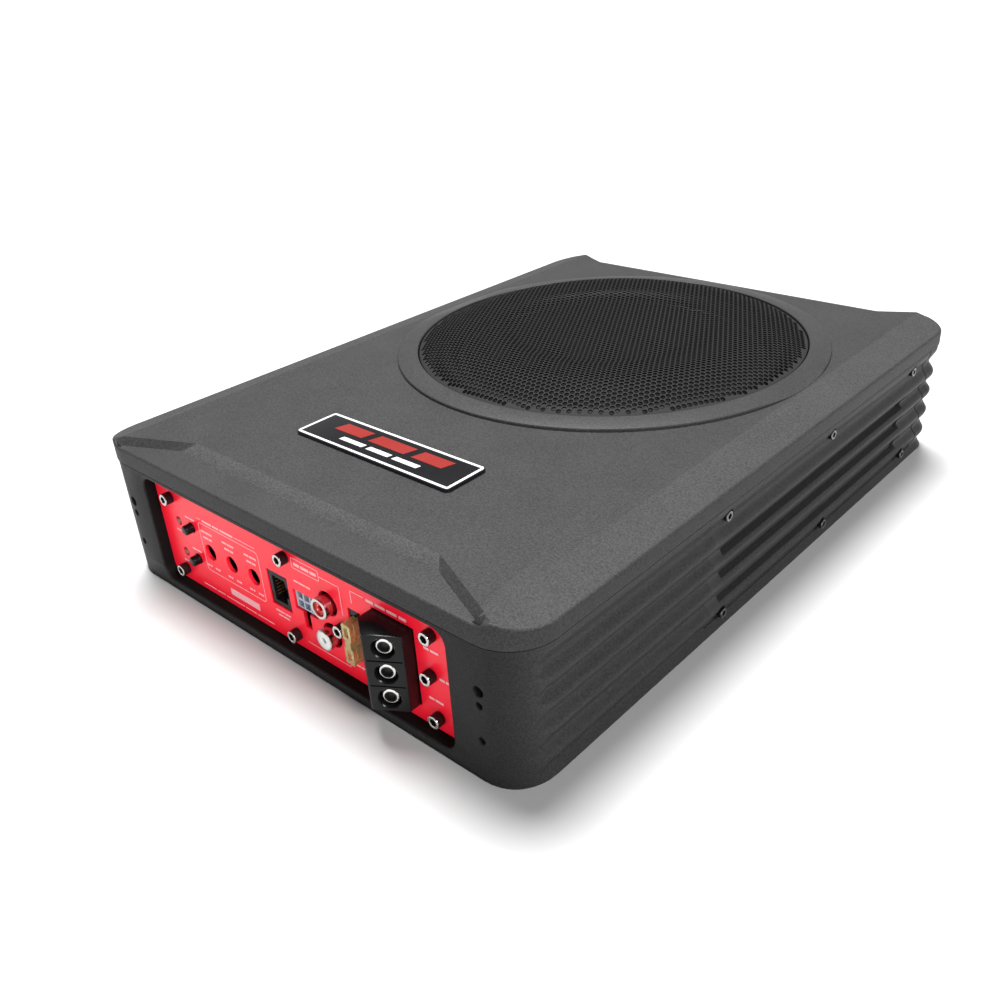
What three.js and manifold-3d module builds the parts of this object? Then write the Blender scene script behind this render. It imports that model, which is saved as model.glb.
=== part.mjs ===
// Powered under-seat car subwoofer: a fluted die-cast housing with an 8 inch driver under a
// domed grille, and a recessed control panel with its terminals in the front face.
// Units are millimetres. +X is the width, -Y the control panel's end, +Z up.
// The origin is the centre of the underside of the housing.
import * as THREE from 'three';
import { mergeVertices } from 'three/addons/utils/BufferGeometryUtils.js';
import Module from 'manifold-3d';

const wasm = await Module();
wasm.setup();

// ---- driving dimensions ------------------------------------------------------------------
const GAP = 0.3;                 // clearance between neighbouring pieces
const LENGTH = 345;              // housing, front face to rear face
const LIP_HALF = 128;            // half width at the lip under the top edge
const TOP_HALF = 121;            // half width of the flat top
const FOOT_HALF = 126.5;         // half width at the floor
const HEIGHT = 71;               // floor to the flat top
const CORNER_R = 20;             // plan corners at the front
const REAR_CORNER_R = 14;        // and at the rear
const SHELF_DROP = 3.3;          // front and rear shelves below the flat top
const FRONT = -LENGTH / 2;
const REAR = LENGTH / 2;
const WALL_INNER = 117.5;        // half width of the cavity
const CAVITY_FRONT = -158;
const CAVITY_REAR = 168;
const ROOF_UNDER = 64.5;

const PANEL_FACE = -166.7;       // outer face of the control panel
const PANEL_THICK = 1.6;
const OPENING_HALF = 94.5;       // front opening
const OPENING_LOW = 4.5;
const OPENING_HIGH = 57.3;
const OPENING_R = 6;

// Screws that hold the panel to the ledge behind it, as [x, z].
const LEDGE_SCREWS = [[-82.5, 48.4], [0, 48.4], [82.5, 48.4], [-82.5, 11.2], [0, 11.2], [82.5, 11.2],
  [80.5, 29.8]];

const DRIVER_Y = 48;             // speaker axis, from the origin
const GRILLE_R = 99;
const RING_R = 110;              // raised ring round the grille
const SEAT_Z = 62.3;             // where the driver's flange rests
const SEAT_BORE_R = 91;
const GRILLE_TOP = 81;

const SIDE_PLATE_Y = [-55, 152];
const SIDE_PLATE_Z = [3, 58.8];
const SIDE_POCKET_X = 121.6;
const GROOVES = [[50, 57.4], [37.6, 44.4], [26, 33.4], [15, 22], [4.4, 10.6]];
const GROOVE_DEPTH = 3;
const SLOT_DEPTH = 5;
const SLOT_Y = [-46.5, 127.5];
const SIDE_SCREW_Y = [-46, 43.5, 132.5];
const SIDE_SCREW_Z = [53.8, 7.5];

// ---- geometry helpers --------------------------------------------------------------------
const WELD = 1e-4;

/** A closed three.js geometry as a solid, with its faces turned outwards. */
function solid(geometry) {
  const bare = geometry.clone();
  bare.deleteAttribute('normal');
  bare.deleteAttribute('uv');
  const merged = mergeVertices(bare, WELD);
  const points = merged.attributes.position.array;
  const at = (i) => new THREE.Vector3().fromArray(points, 3 * i);
  const triangles = [];
  let volume = 0;
  for (let i = 0; i < merged.index.count; i += 3) {
    const [p, q, r] = [0, 1, 2].map((k) => merged.index.getX(i + k));
    if (p !== q && q !== r && r !== p) {
      triangles.push(p, q, r);
      volume += at(p).dot(at(q).cross(at(r)));
    }
  }
  if (volume < 0) {
    triangles.reverse();
  }
  return new wasm.Manifold(new wasm.Mesh({
    numProp: 3,
    vertProperties: new Float32Array(points),
    triVerts: new Uint32Array(triangles),
  }));
}

function union(...solids) {
  return solids.reduce((all, one) => all.add(one));
}

function cut(body, ...tools) {
  return tools.reduce((left, tool) => left.subtract(tool), body);
}

function block(x, y, z) {
  const box = new THREE.BoxGeometry(x[1] - x[0], y[1] - y[0], z[1] - z[0]);
  box.translate((x[0] + x[1]) / 2, (y[0] + y[1]) / 2, (z[0] + z[1]) / 2);
  return solid(box);
}

/** A shape drawn in X and Z, extruded from y0 to y1. */
function alongY(shape, y0, y1, curveSegments = 4) {
  const body = new THREE.ExtrudeGeometry(shape, { depth: y1 - y0, bevelEnabled: false, curveSegments });
  body.rotateX(Math.PI / 2);
  body.translate(0, y1, 0);
  return solid(body);
}

/** A shape drawn in X and Y, extruded from z0 to z1. */
function alongZ(shape, z0, z1, curveSegments = 4) {
  const body = new THREE.ExtrudeGeometry(shape, { depth: z1 - z0, bevelEnabled: false, curveSegments });
  body.translate(0, 0, z0);
  return solid(body);
}

function polygon(points) {
  return new THREE.Shape(points.map(([x, y]) => new THREE.Vector2(x, y)));
}

function roundedRectangle(x0, x1, y0, y1, r) {
  const shape = new THREE.Shape();
  shape.absarc(x1 - r, y0 + r, r, -Math.PI / 2, 0);
  shape.absarc(x1 - r, y1 - r, r, 0, Math.PI / 2);
  shape.absarc(x0 + r, y1 - r, r, Math.PI / 2, Math.PI);
  shape.absarc(x0 + r, y0 + r, r, Math.PI, 1.5 * Math.PI);
  return shape;
}

/** A body turned about an axis: points are [radius, distance along the axis from base]. */
function turned(points, base, axis, segments) {
  const outline = points.map(([r, h]) => new THREE.Vector2(r, h));
  if (points[0][0] > 0) {
    outline.push(outline[0].clone());
  }
  const body = new THREE.LatheGeometry(outline, segments);
  const up = new THREE.Vector3(0, 1, 0);
  const turn = new THREE.Quaternion().setFromUnitVectors(up, new THREE.Vector3(...axis).normalize());
  body.applyQuaternion(turn);
  body.translate(...base);
  return solid(body);
}

function rod(radius, from, to, segments = 12) {
  const start = new THREE.Vector3(...from);
  const way = new THREE.Vector3(...to).sub(start);
  const length = way.length();
  return turned([[0, 0], [radius, 0], [radius, length], [0, length]], from, way.toArray(), segments);
}

// ---- the assembly ------------------------------------------------------------------------
const group = new THREE.Group();

const FINISH = {
  coat: { color: 0x4a4b4d, roughness: 0.75, metalness: 0.2 },
  steel: { color: 0x9a9c9f, roughness: 0.35, metalness: 1 },
  nickel: { color: 0xd8d8da, roughness: 0.2, metalness: 1 },
  red: { color: 0xe0182c, roughness: 0.45, metalness: 0 },
  black: { color: 0x141416, roughness: 0.3, metalness: 0 },
  white: { color: 0xe8e8ea, roughness: 0.4, metalness: 0 },
  amber: { color: 0xe8a53a, roughness: 0.15, metalness: 0 },
  paper: { color: 0x1c1c1e, roughness: 0.9, metalness: 0 },
  rubber: { color: 0x202022, roughness: 0.8, metalness: 0 },
  ferrite: { color: 0x33343a, roughness: 0.7, metalness: 0.1 },
  copper: { color: 0xb5653a, roughness: 0.4, metalness: 1 },
  board: { color: 0x1f5a34, roughness: 0.5, metalness: 0 },
};

function add(name, finish, body) {
  const built = body.getMesh();
  const geometry = new THREE.BufferGeometry();
  geometry.setAttribute('position', new THREE.BufferAttribute(built.vertProperties, 3));
  geometry.setIndex(new THREE.BufferAttribute(built.triVerts, 1));
  geometry.computeVertexNormals();
  const mesh = new THREE.Mesh(geometry, new THREE.MeshStandardMaterial(FINISH[finish]));
  mesh.name = name;
  group.add(mesh);
}

// ---- housing -----------------------------------------------------------------------------
/** The +X half of the housing's cross-section edge, from the floor to the flat top. */
function sideEdge() {
  return [[FOOT_HALF, 0], [LIP_HALF, 58.8], [LIP_HALF, 65.5], [TOP_HALF, HEIGHT]];
}

function grooveTool(side, [low, high], depth, y0, y1) {
  const inner = side * (LIP_HALF - depth);
  const outer = side * (LIP_HALF + 2);
  const ease = 0.9;
  const section = [[inner, low + ease], [outer, low - ease], [outer, high + ease], [inner, high - ease]];
  return alongY(polygon(section), y0, y1);
}

/** The slope-walled tray that lowers one end of the flat top; end is -1 at the front. */
function shelfTool(end, farHalf, nearHalf, depth) {
  const edge = end * (REAR + 8);
  const face = end * REAR;
  const inner = end * (REAR - depth);
  const floorLine = [[-farHalf, edge], [farHalf, edge], [farHalf, face], [nearHalf, inner],
    [-nearHalf, inner], [-farHalf, face]];
  const tray = new THREE.ExtrudeGeometry(polygon(floorLine), {
    depth: 6, bevelEnabled: true, bevelThickness: SHELF_DROP, bevelSize: 6, bevelSegments: 1,
  });
  tray.translate(0, 0, HEIGHT);
  return solid(tray);
}

function housing() {
  const edge = sideEdge();
  const mirrored = edge.map(([x, z]) => [-x, z]).reverse();
  const section = alongY(polygon([...edge, ...mirrored]), FRONT, REAR);
  const plan = alongZ(roundedRectangle(-LIP_HALF, LIP_HALF, FRONT, REAR, CORNER_R), -1, HEIGHT + 1, 6);
  const rearHalf = roundedRectangle(-LIP_HALF, LIP_HALF, 0, REAR, REAR_CORNER_R);
  const shell = section.intersect(plan.add(alongZ(rearHalf, -1, HEIGHT + 1, 6)));
  const ring = turned([[SEAT_BORE_R, 58], [102.5, 58], [102.5, HEIGHT - 3], [RING_R, HEIGHT - 3],
    [RING_R, HEIGHT + 1.5], [GRILLE_R + 0.6, HEIGHT + 2.8], [SEAT_BORE_R, HEIGHT + 2.8]],
  [0, DRIVER_Y, 0], [0, 0, 1], 48);
  const well = turned([[0, SEAT_Z], [GRILLE_R + 0.4, SEAT_Z], [GRILLE_R + 0.4, 80], [0, 80]],
    [0, DRIVER_Y, 0], [0, 0, 1], 48);
  const bore = rod(SEAT_BORE_R, [0, DRIVER_Y, 50], [0, DRIVER_Y, 90], 48);
  const cavity = block([-WALL_INNER, WALL_INNER], [CAVITY_FRONT, CAVITY_REAR], [-1, ROOF_UNDER]);

  let body = cut(shell, shelfTool(-1, 110, 81, 13), shelfTool(1, 100, 82, 6), cavity);
  body = cut(body.add(ring), well, bore);

  for (const side of [-1, 1]) {
    for (const groove of GROOVES) {
      body = body.subtract(grooveTool(side, groove, GROOVE_DEPTH, FRONT + 9, REAR + 1));
    }
    const pocketX = [side * SIDE_POCKET_X, side * (LIP_HALF + 4)].sort((a, b) => a - b);
    body = body.subtract(block(pocketX, SIDE_PLATE_Y, SIDE_PLATE_Z));
    for (const y of SIDE_SCREW_Y) {
      for (const z of SIDE_SCREW_Z) {
        body = body.subtract(rod(1.8, [side * 112, y, z], [side * 124, y, z], 8));
      }
    }
    for (const y of [FRONT - 1, REAR - 8]) {
      for (const [z, r] of [[40, 2.2], [34, 1.5], [18.6, 1.5]]) {
        body = body.subtract(rod(r, [side * 108.5, y, z], [side * 108.5, y + 9, z], 8));
      }
    }
    for (const y of [-148, 0, 158]) {
      body = body.add(rod(4.5, [side * 111, y, 2.3], [side * 111, y, ROOF_UNDER + 1], 8));
    }
  }

  const mouth = roundedRectangle(-OPENING_HALF, OPENING_HALF, OPENING_LOW, OPENING_HIGH, OPENING_R);
  body = body.subtract(alongY(mouth, FRONT - 5, PANEL_FACE + PANEL_THICK + GAP));
  const threads = LEDGE_SCREWS.map(([x, z]) => rod(1.8, [x, PANEL_FACE, z], [x, CAVITY_FRONT - 1, z], 8));
  return cut(body, panelWindow(), ...threads);
}

/** The window behind the panel: open in the middle, with material left for the panel's screws. */
function panelWindow() {
  const y = [FRONT - 5, CAVITY_FRONT + 1];
  const middle = cut(
    block([-76, 76], y, [7, 54]),
    block([-5, 5], [y[0] - 1, y[1] + 1], [44, 60]),
    block([-5, 5], [y[0] - 1, y[1] + 1], [0, 15.5]),
  );
  const left = block([-88, -70], y, [16, 43]);
  return union(middle, left);
}

add('top_housing', 'coat', housing());

const BOARD_Z = 7;               // underside of the amplifier board
const BOARD_THICK = 1.6;

/** The sheet that closes the housing, with the pillars that carry the amplifier board. */
function bottomPlate() {
  const outline = roundedRectangle(
    GAP - WALL_INNER, WALL_INNER - GAP, CAVITY_FRONT + GAP, CAVITY_REAR - GAP, 3,
  );
  let plate = alongZ(outline, 0, 2, 2);
  for (const x of [-92, 92]) {
    for (const y of [-141, -71]) {
      plate = plate.add(rod(3, [x, y, 1], [x, y, BOARD_Z - 0.1], 8));
    }
  }
  return plate;
}

add('bottom_plate', 'steel', bottomPlate());

// ---- fluted side plates and their screws -------------------------------------------------
function sidePlate(side) {
  const edge = [[SIDE_POCKET_X + GAP, SIDE_PLATE_Z[0] + GAP], [FOOT_HALF, SIDE_PLATE_Z[0] + GAP],
    [LIP_HALF - 0.1, SIDE_PLATE_Z[1] - GAP], [SIDE_POCKET_X + GAP, SIDE_PLATE_Z[1] - GAP]];
  const outline = polygon(edge.map(([x, z]) => [side * x, z]));
  let plate = alongY(outline, SIDE_PLATE_Y[0] + GAP, SIDE_PLATE_Y[1] - GAP);
  for (const groove of GROOVES) {
    plate = plate.subtract(grooveTool(side, groove, GROOVE_DEPTH, SIDE_PLATE_Y[0] - 1, REAR));
  }
  for (const [low, high] of GROOVES.slice(1, 4)) {
    plate = plate.subtract(grooveTool(side, [low + 1.2, high], SLOT_DEPTH, ...SLOT_Y));
  }
  for (const y of SIDE_SCREW_Y) {
    for (const z of SIDE_SCREW_Z) {
      plate = plate.subtract(rod(1.8, [side * 112, y, z], [side * 130, y, z], 8));
      plate = plate.subtract(rod(3.1, [side * 124.9, y, z], [side * 130, y, z], 10));
    }
  }
  return plate;
}

/** A socket cap screw: its head's face is at place, and axis points out of the head. */
function capScrew(place, axis, headR, headH, shankR, shankL) {
  const socketR = 0.5 * headR;
  const profile = [[0, -1.6], [socketR, -1.6], [socketR, 0], [headR, 0], [headR, -headH],
    [shankR, -headH], [shankR, -headH - shankL], [0, -headH - shankL]];
  return turned(profile, place, axis, 10);
}

for (const [side, sideName] of [[-1, 'left'], [1, 'right']]) {
  add(`${sideName}_side_plate`, 'coat', sidePlate(side));
  let number = 0;
  for (const z of SIDE_SCREW_Z) {
    for (const y of SIDE_SCREW_Y) {
      number += 1;
      const face = side * (LIP_HALF - 0.2);
      const screw = capScrew([face, y, z], [side, 0, 0], 2.5, 2.4, 1.5, 9);
      add(`${sideName}_side_screw_${number}`, 'nickel', screw);
    }
  }
}

// ---- grille and badge --------------------------------------------------------------------
/** The grille's upper surface: a raised crown with a shallow dish in its middle. */
const GRILLE_LINE = [[98.8, 72.8], [95, 74.4], [85, 78.6], [73, GRILLE_TOP], [62, GRILLE_TOP], [50, 78.8]];
const GRILLE_THICK = 1.2;

function grille() {
  const under = GRILLE_LINE.map(([r, z]) => [r - 0.6, z - GRILLE_THICK]).reverse();
  const rim = [[98.8, 70.4], [97.6, 70.4]];
  const centre = GRILLE_LINE.at(-1)[1];
  return turned([[0, centre], ...GRILLE_LINE.slice().reverse(), ...rim, ...under.reverse(),
    [0, centre - GRILLE_THICK]], [0, DRIVER_Y, 0], [0, 0, 1], 36);
}

add('grille', 'coat', grille());

const BADGE_HALF = 47;           // half width of the badge
const BADGE_Y = [-120, -96.8];
const BADGE_Z = [HEIGHT + 0.05, HEIGHT + 1.6];
add('badge_plate', 'black', block([-BADGE_HALF, BADGE_HALF], BADGE_Y, BADGE_Z));

// ---- driver ------------------------------------------------------------------------------
const DRIVER = [0, DRIVER_Y, 0];
const UP = [0, 0, 1];

function basket() {
  const bowl = turned([[29, 33.3], [55, 33.3], [60, 37.5], [87, 55], [90.5, 62.6], [98.7, 62.6], [98.7, 65],
    [88, 65], [84.6, 56.5], [57.5, 38.6], [50, 37.4], [50, 35.6], [29, 35.6]], DRIVER, UP, 36);
  const windows = [];
  for (let i = 0; i < 6; i += 1) {
    const angle = (i + 0.5) * Math.PI / 3;
    const outline = polygon([[64, -13], [82, -15], [82, 15], [64, 13]]);
    const pane = new THREE.ExtrudeGeometry(outline, { depth: 30, bevelEnabled: false });
    pane.rotateZ(angle);
    pane.translate(0, DRIVER_Y, 34);
    windows.push(solid(pane));
  }
  return cut(bowl, ...windows);
}

add('woofer_basket', 'black', basket());
add('magnet_yoke', 'steel', turned([[7, 5], [48, 5], [48, 10.5], [24.2, 10.5], [24.2, 33], [7, 33]],
  DRIVER, UP, 28));
add('woofer_magnet', 'ferrite', turned([[31, 10.8], [54, 10.8], [54, 27], [31, 27]], DRIVER, UP, 28));
add('magnet_top_washer', 'steel', turned([[27.2, 27.3], [50, 27.3], [50, 33], [27.2, 33]], DRIVER, UP, 28));
add('voice_coil', 'copper', turned([[25.1, 20], [26.2, 20], [26.2, 45], [25.1, 45]], DRIVER, UP, 28));

/** A wavy disc of constant thickness, for the spider. */
function wavyDisc(inner, outer, middle, swing, waves, thick) {
  const top = [];
  const bottom = [];
  const steps = 2 * waves + 1;
  for (let i = 0; i <= steps; i += 1) {
    const r = inner + (outer - inner) * i / steps;
    const z = i === 0 || i === steps ? middle : middle + swing * (-1) ** i;
    top.push([r, z + thick / 2]);
    bottom.push([r, z - thick / 2]);
  }
  return turned([...top, ...bottom.reverse()], DRIVER, UP, 28);
}

add('spider', 'copper', wavyDisc(26.6, 56, 40, 0.9, 3, 0.6));
add('cone', 'paper', turned([[26.6, 44.2], [76, 64.2], [79.5, 64.2], [79.5, 65], [75.6, 65], [26.6, 45.4]],
  DRIVER, UP, 36));
add('dust_cap', 'paper', turned([[0, 55.4], [12, 54.9], [24, 52.9], [33, 49.3], [34.4, 48.8], [33.4, 48.4],
  [23.6, 51.9], [12, 53.9], [0, 54.4]], DRIVER, UP, 28));

/** The half-round rubber roll between the cone's edge and the basket's flange. */
function surround() {
  const roll = 5.4;
  const middle = 85;
  const outer = [];
  const inner = [];
  for (let i = 0; i <= 5; i += 1) {
    const angle = i * Math.PI / 5;
    outer.push([middle + (roll + 0.5) * Math.cos(angle), 65.8 + (roll + 0.2) * Math.sin(angle)]);
    inner.push([middle + (roll - 0.5) * Math.cos(angle), 65.8 + (roll - 0.8) * Math.sin(angle)]);
  }
  return turned([[98.5, 65.3], [98.5, 66.3], [90.9, 66.3], ...outer.slice(1, 5), [79.1, 66.3], [75.6, 66.3],
    [75.6, 65.3], [80.6, 65.3], ...inner.slice(1, 5).reverse(), [89.4, 65.3]], DRIVER, UP, 32);
}

add('surround', 'rubber', surround());

// ---- control panel -----------------------------------------------------------------------
const POT_X = [-58, -42, -26];
const POT_Z = 28.3;
const BUTTON_X = -69.8;
const LED_X = -80;
const SWITCH_Z = [37, 20.8];
const RCA_X = 24;
const RCA_Z = [36.1, 21.1];
const JACK = { x: [-15.2, -1.8], z: [20.3, 37.2] };
const SPEAKER_PLUG = { x: [1.5, 16], z: [25, 34] };
const FUSE_SLOT = { x: [36.4, 43.5], z: [16.5, 39.8] };
const TERMINAL = { x: [51.2, 72.8], z: [12, 46] };
const RCA_SCREW = [32.6, 28.6];
const PANEL_SCREWS = [...LEDGE_SCREWS, RCA_SCREW];
const PANEL_BACK = PANEL_FACE + PANEL_THICK;

function circleHole(x, z, r) {
  const hole = new THREE.Path();
  hole.absarc(x, z, r, 0, 2 * Math.PI);
  return hole;
}

function boxHole(x, z, ease = 0) {
  return new THREE.Path([[x[0] - ease, z[0] - ease], [x[1] + ease, z[0] - ease], [x[1] + ease, z[1] + ease],
    [x[0] - ease, z[1] + ease]].map(([a, b]) => new THREE.Vector2(a, b)));
}

function controlPanel() {
  const shape = roundedRectangle(GAP - OPENING_HALF, OPENING_HALF - GAP, OPENING_LOW + GAP,
    OPENING_HIGH - GAP, OPENING_R - GAP);
  shape.holes.push(boxHole(JACK.x, JACK.z), boxHole(FUSE_SLOT.x, FUSE_SLOT.z));
  shape.holes.push(boxHole(TERMINAL.x, TERMINAL.z, GAP));
  const { x, z } = SPEAKER_PLUG;
  const latch = [[x[0], z[0]], [6.3, z[0]], [6.3, 17.4], [10.6, 17.4], [10.6, z[0]], [x[1], z[0]],
    [x[1], z[1]], [x[0], z[1]]];
  shape.holes.push(new THREE.Path(latch.map(([a, b]) => new THREE.Vector2(a, b))));
  for (const potX of POT_X) {
    shape.holes.push(circleHole(potX, POT_Z, 3.9));
  }
  for (const switchZ of SWITCH_Z) {
    shape.holes.push(circleHole(BUTTON_X, switchZ, 2.6), circleHole(LED_X, switchZ, 2.1));
  }
  for (const rcaZ of RCA_Z) {
    shape.holes.push(circleHole(RCA_X, rcaZ, 5.5));
  }
  for (const [screwX, screwZ] of PANEL_SCREWS) {
    shape.holes.push(circleHole(screwX, screwZ, 1.8));
  }
  return alongY(shape, PANEL_FACE, PANEL_BACK, 5);
}

add('control_panel', 'red', controlPanel());

PANEL_SCREWS.forEach(([x, z], i) => {
  const place = [x, PANEL_FACE - 4, z];
  add(`panel_screw_${i + 1}`, 'nickel', capScrew(place, [0, -1, 0], 2.75, 3.8, 1.5, 5));
});

SWITCH_Z.forEach((z, i) => {
  const cap = [[0, 0], [2.3, 0], [2.3, -6.3], [3.3, -6.3], [3.3, -7.4], [0, -7.4]];
  add(`push_button_${i + 1}`, 'black', turned(cap, [BUTTON_X, PANEL_FACE - 4, z], [0, -1, 0], 14));
  const lens = [[0, 0], [1.8, 0], [1.8, -4], [2.3, -4], [2.3, -6], [0, -6]];
  add(`status_led_${i + 1}`, 'white', turned(lens, [LED_X, PANEL_FACE - 0.6, z], [0, -1, 0], 10));
});

const BOARD_Y = -151.6;
POT_X.forEach((x, i) => {
  const shaft = rod(3, [x, -163.2, POT_Z], [x, -153, POT_Z], 14);
  const slot = block([x - 0.5, x + 0.5], [-164, -161.8], [POT_Z - 4, POT_Z + 4]);
  add(`level_pot_rotor_${i + 1}`, 'white', shaft.subtract(slot));
});

/** The upright board behind the panel that carries the dial pots and the push switches. */
function controlBoard() {
  let board = block([-88, -17], [BOARD_Y, BOARD_Y + 1.6], [14, 46]);
  for (const x of POT_X) {
    const can = block([x - 5.5, x + 5.5], [-160, BOARD_Y + 0.5], [POT_Z - 6, POT_Z + 6]);
    board = board.add(can).subtract(rod(3.3, [x, -161, POT_Z], [x, -152.6, POT_Z], 14));
  }
  for (const z of SWITCH_Z) {
    board = board.add(block([BUTTON_X - 3, BUTTON_X + 3], [-160.4, BOARD_Y + 0.5], [z - 3, z + 3]));
  }
  return board;
}

add('control_board', 'board', controlBoard());

// ---- sockets -----------------------------------------------------------------------------
function remoteJack() {
  const x = [JACK.x[0] + GAP, JACK.x[1] - GAP];
  const z = [JACK.z[0] + GAP, JACK.z[1] - GAP];
  const body = block(x, [PANEL_FACE + 0.4, -150], z);
  const mouth = block([-12.6, -4.4], [-170, -153.5], [22.8, 34.6]);
  const latchWay = block([-5, -3], [-170, -157], [26.2, 31.2]);
  return cut(body, mouth, latchWay);
}

add('remote_jack', 'black', remoteJack());

function speakerSocket() {
  const { x, z } = SPEAKER_PLUG;
  let body = block([x[0] + GAP, x[1] - GAP], [PANEL_FACE + 1, -152], [z[0] + GAP, z[1] - GAP]);
  for (const column of [-1, 0, 1]) {
    for (const row of [-0.5, 0.5]) {
      const cx = (x[0] + x[1]) / 2 + 4.2 * column;
      const cz = (z[0] + z[1]) / 2 + 4.0 * row;
      body = body.subtract(block([cx - 1.6, cx + 1.6], [-170, -157], [cz - 1.5, cz + 1.5]));
    }
  }
  return body;
}

add('high_level_socket', 'white', speakerSocket());

function rcaBlock() {
  let body = block([18, 36], [PANEL_BACK + GAP, -151], [13.5, 43.5]);
  for (const z of RCA_Z) {
    body = body.subtract(rod(4.9, [RCA_X, -170, z], [RCA_X, -155, z], 16));
  }
  const [screwX, screwZ] = RCA_SCREW;
  return body.subtract(rod(1.8, [screwX, -170, screwZ], [screwX, -158, screwZ], 8));
}

add('rca_block', 'black', rcaBlock());

RCA_Z.forEach((z, i) => {
  const sleeve = [[1.7, 0], [4.6, 0], [4.6, -15.6], [1.7, -15.6]];
  const colour = i === 0 ? 'red' : 'white';
  add(`rca_jack_${colour}`, colour, turned(sleeve, [RCA_X, PANEL_FACE - 4.6, z], [0, -1, 0], 18));
});

// ---- fuse and its holder -----------------------------------------------------------------
const FUSE = { x: [37.45, 42.45], z: [17.4, 36.2], face: PANEL_FACE - 5 };
const BLADE_Z = [[19, 24.2], [29.4, 34.6]];
const BLADE_X = [39.6, 40.3];

function fuseHolder() {
  let body = block([FUSE_SLOT.x[0] + GAP, FUSE_SLOT.x[1] - GAP], [PANEL_FACE + 0.6, -149.5],
    [FUSE_SLOT.z[0] + GAP, FUSE_SLOT.z[1] - GAP]);
  body = body.subtract(block([FUSE.x[0] - 0.25, FUSE.x[1] + 0.25], [-170, -159.7],
    [FUSE.z[0] - 0.25, FUSE.z[1] + 0.25]));
  for (const [low, high] of BLADE_Z) {
    const slotX = [BLADE_X[0] - GAP, BLADE_X[1] + GAP];
    body = body.subtract(block(slotX, [-160, -152], [low - GAP, high + GAP]));
  }
  return body;
}

add('fuse_holder', 'black', fuseHolder());

function fuse() {
  const shell = block(FUSE.x, [FUSE.face, -160], FUSE.z);
  const blades = BLADE_Z.map((z) => block(BLADE_X, [-161, -153], z));
  return union(shell, ...blades);
}

add('fuse', 'amber', fuse());

// ---- power terminal ----------------------------------------------------------------------
// In plan the block is a roof: a long slope facing front right carries the screws, and the
// wires enter through the short left slope, square to the screws.
const TERMINAL_PITCH = 11.3;
const TERMINAL_Z = [-1, 0, 1].map((i) => 29 + i * TERMINAL_PITCH);
const SLOPE_FOOT = [73, PANEL_FACE - 5.4];
const RIDGE = [60.4, PANEL_FACE - 13.3];
const SLOPE_ANGLE = Math.atan2(SLOPE_FOOT[1] - RIDGE[1], SLOPE_FOOT[0] - RIDGE[0]);
const SLOPE_MIDDLE = [(SLOPE_FOOT[0] + RIDGE[0]) / 2, (SLOPE_FOOT[1] + RIDGE[1]) / 2];
const OUTWARD = [Math.sin(SLOPE_ANGLE), -Math.cos(SLOPE_ANGLE), 0];
const WIRE_WAY = [-Math.cos(SLOPE_ANGLE), -Math.sin(SLOPE_ANGLE), 0];

/** A point at a depth below the screw slope and a distance towards the wire entry. */
function inTerminal(depth, towardsWire, z) {
  return [
    SLOPE_MIDDLE[0] - depth * OUTWARD[0] + towardsWire * WIRE_WAY[0],
    SLOPE_MIDDLE[1] - depth * OUTWARD[1] + towardsWire * WIRE_WAY[1],
    z,
  ];
}

/** A box lined up with the screw axis: depth and reach are ranges along it and along the wire. */
function slantedBlock(depth, reach, z) {
  const corners = [[depth[0], reach[0]], [depth[0], reach[1]], [depth[1], reach[1]], [depth[1], reach[0]]];
  return alongZ(polygon(corners.map(([d, w]) => inTerminal(d, w, 0).slice(0, 2))), z[0], z[1]);
}

function terminalBlock() {
  const plan = polygon([[TERMINAL.x[0], -150], [TERMINAL.x[0], PANEL_FACE - 6.9], RIDGE, SLOPE_FOOT,
    [TERMINAL.x[1], PANEL_FACE - 4.6], [TERMINAL.x[1], -150]]);
  let body = alongZ(plan, ...TERMINAL.z);
  for (const z of TERMINAL_Z) {
    body = cut(body,
      rod(4.2, inTerminal(-3, 0, z), inTerminal(6.2, 0, z), 18),
      rod(2.3, inTerminal(5, 0, z), inTerminal(8, 0, z), 12),
      slantedBlock([7.4, 13.4], [-3.6, 20], [z - 3.2, z + 3.2]));
  }
  return body;
}

add('terminal_block', 'black', terminalBlock());

TERMINAL_Z.forEach((z, i) => {
  const head = [[0, 0], [3.8, 0], [3.8, -2.2], [1.9, -2.2], [1.9, -6.6], [0, -6.6]];
  const slot = slantedBlock([0, 1.6], [-4.5, 4.5], [z - 0.5, z + 0.5]);
  const screw = turned(head, inTerminal(0.8, 0, z), OUTWARD, 16);
  add(`terminal_screw_${i + 1}`, 'nickel', screw.subtract(slot));
  add(`terminal_clamp_${i + 1}`, 'nickel', slantedBlock([7.7, 9.2], [-2.9, 2.9], [z - 2.8, z + 2.8]));
});

// ---- amplifier ---------------------------------------------------------------------------
add('amplifier_board', 'board', block([-100, 100], [-148, -64], [BOARD_Z, BOARD_Z + BOARD_THICK]));

/** A ring-cored power transformer lying on the board. */
function transformer() {
  const ringR = 15;
  const wireR = 6.4;
  const section = [];
  for (let i = 0; i < 8; i += 1) {
    const angle = (i + 0.5) * Math.PI / 4;
    section.push([ringR + wireR * Math.cos(angle), wireR + wireR * Math.sin(angle)]);
  }
  return turned(section, [58, -106, BOARD_Z + BOARD_THICK], UP, 24);
}

add('power_transformer', 'copper', transformer());

export default group;
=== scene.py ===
import math
import random

import bmesh
import bpy
import numpy as np
from mathutils import Matrix, Vector
from mathutils.geometry import delaunay_2d_cdt


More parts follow.
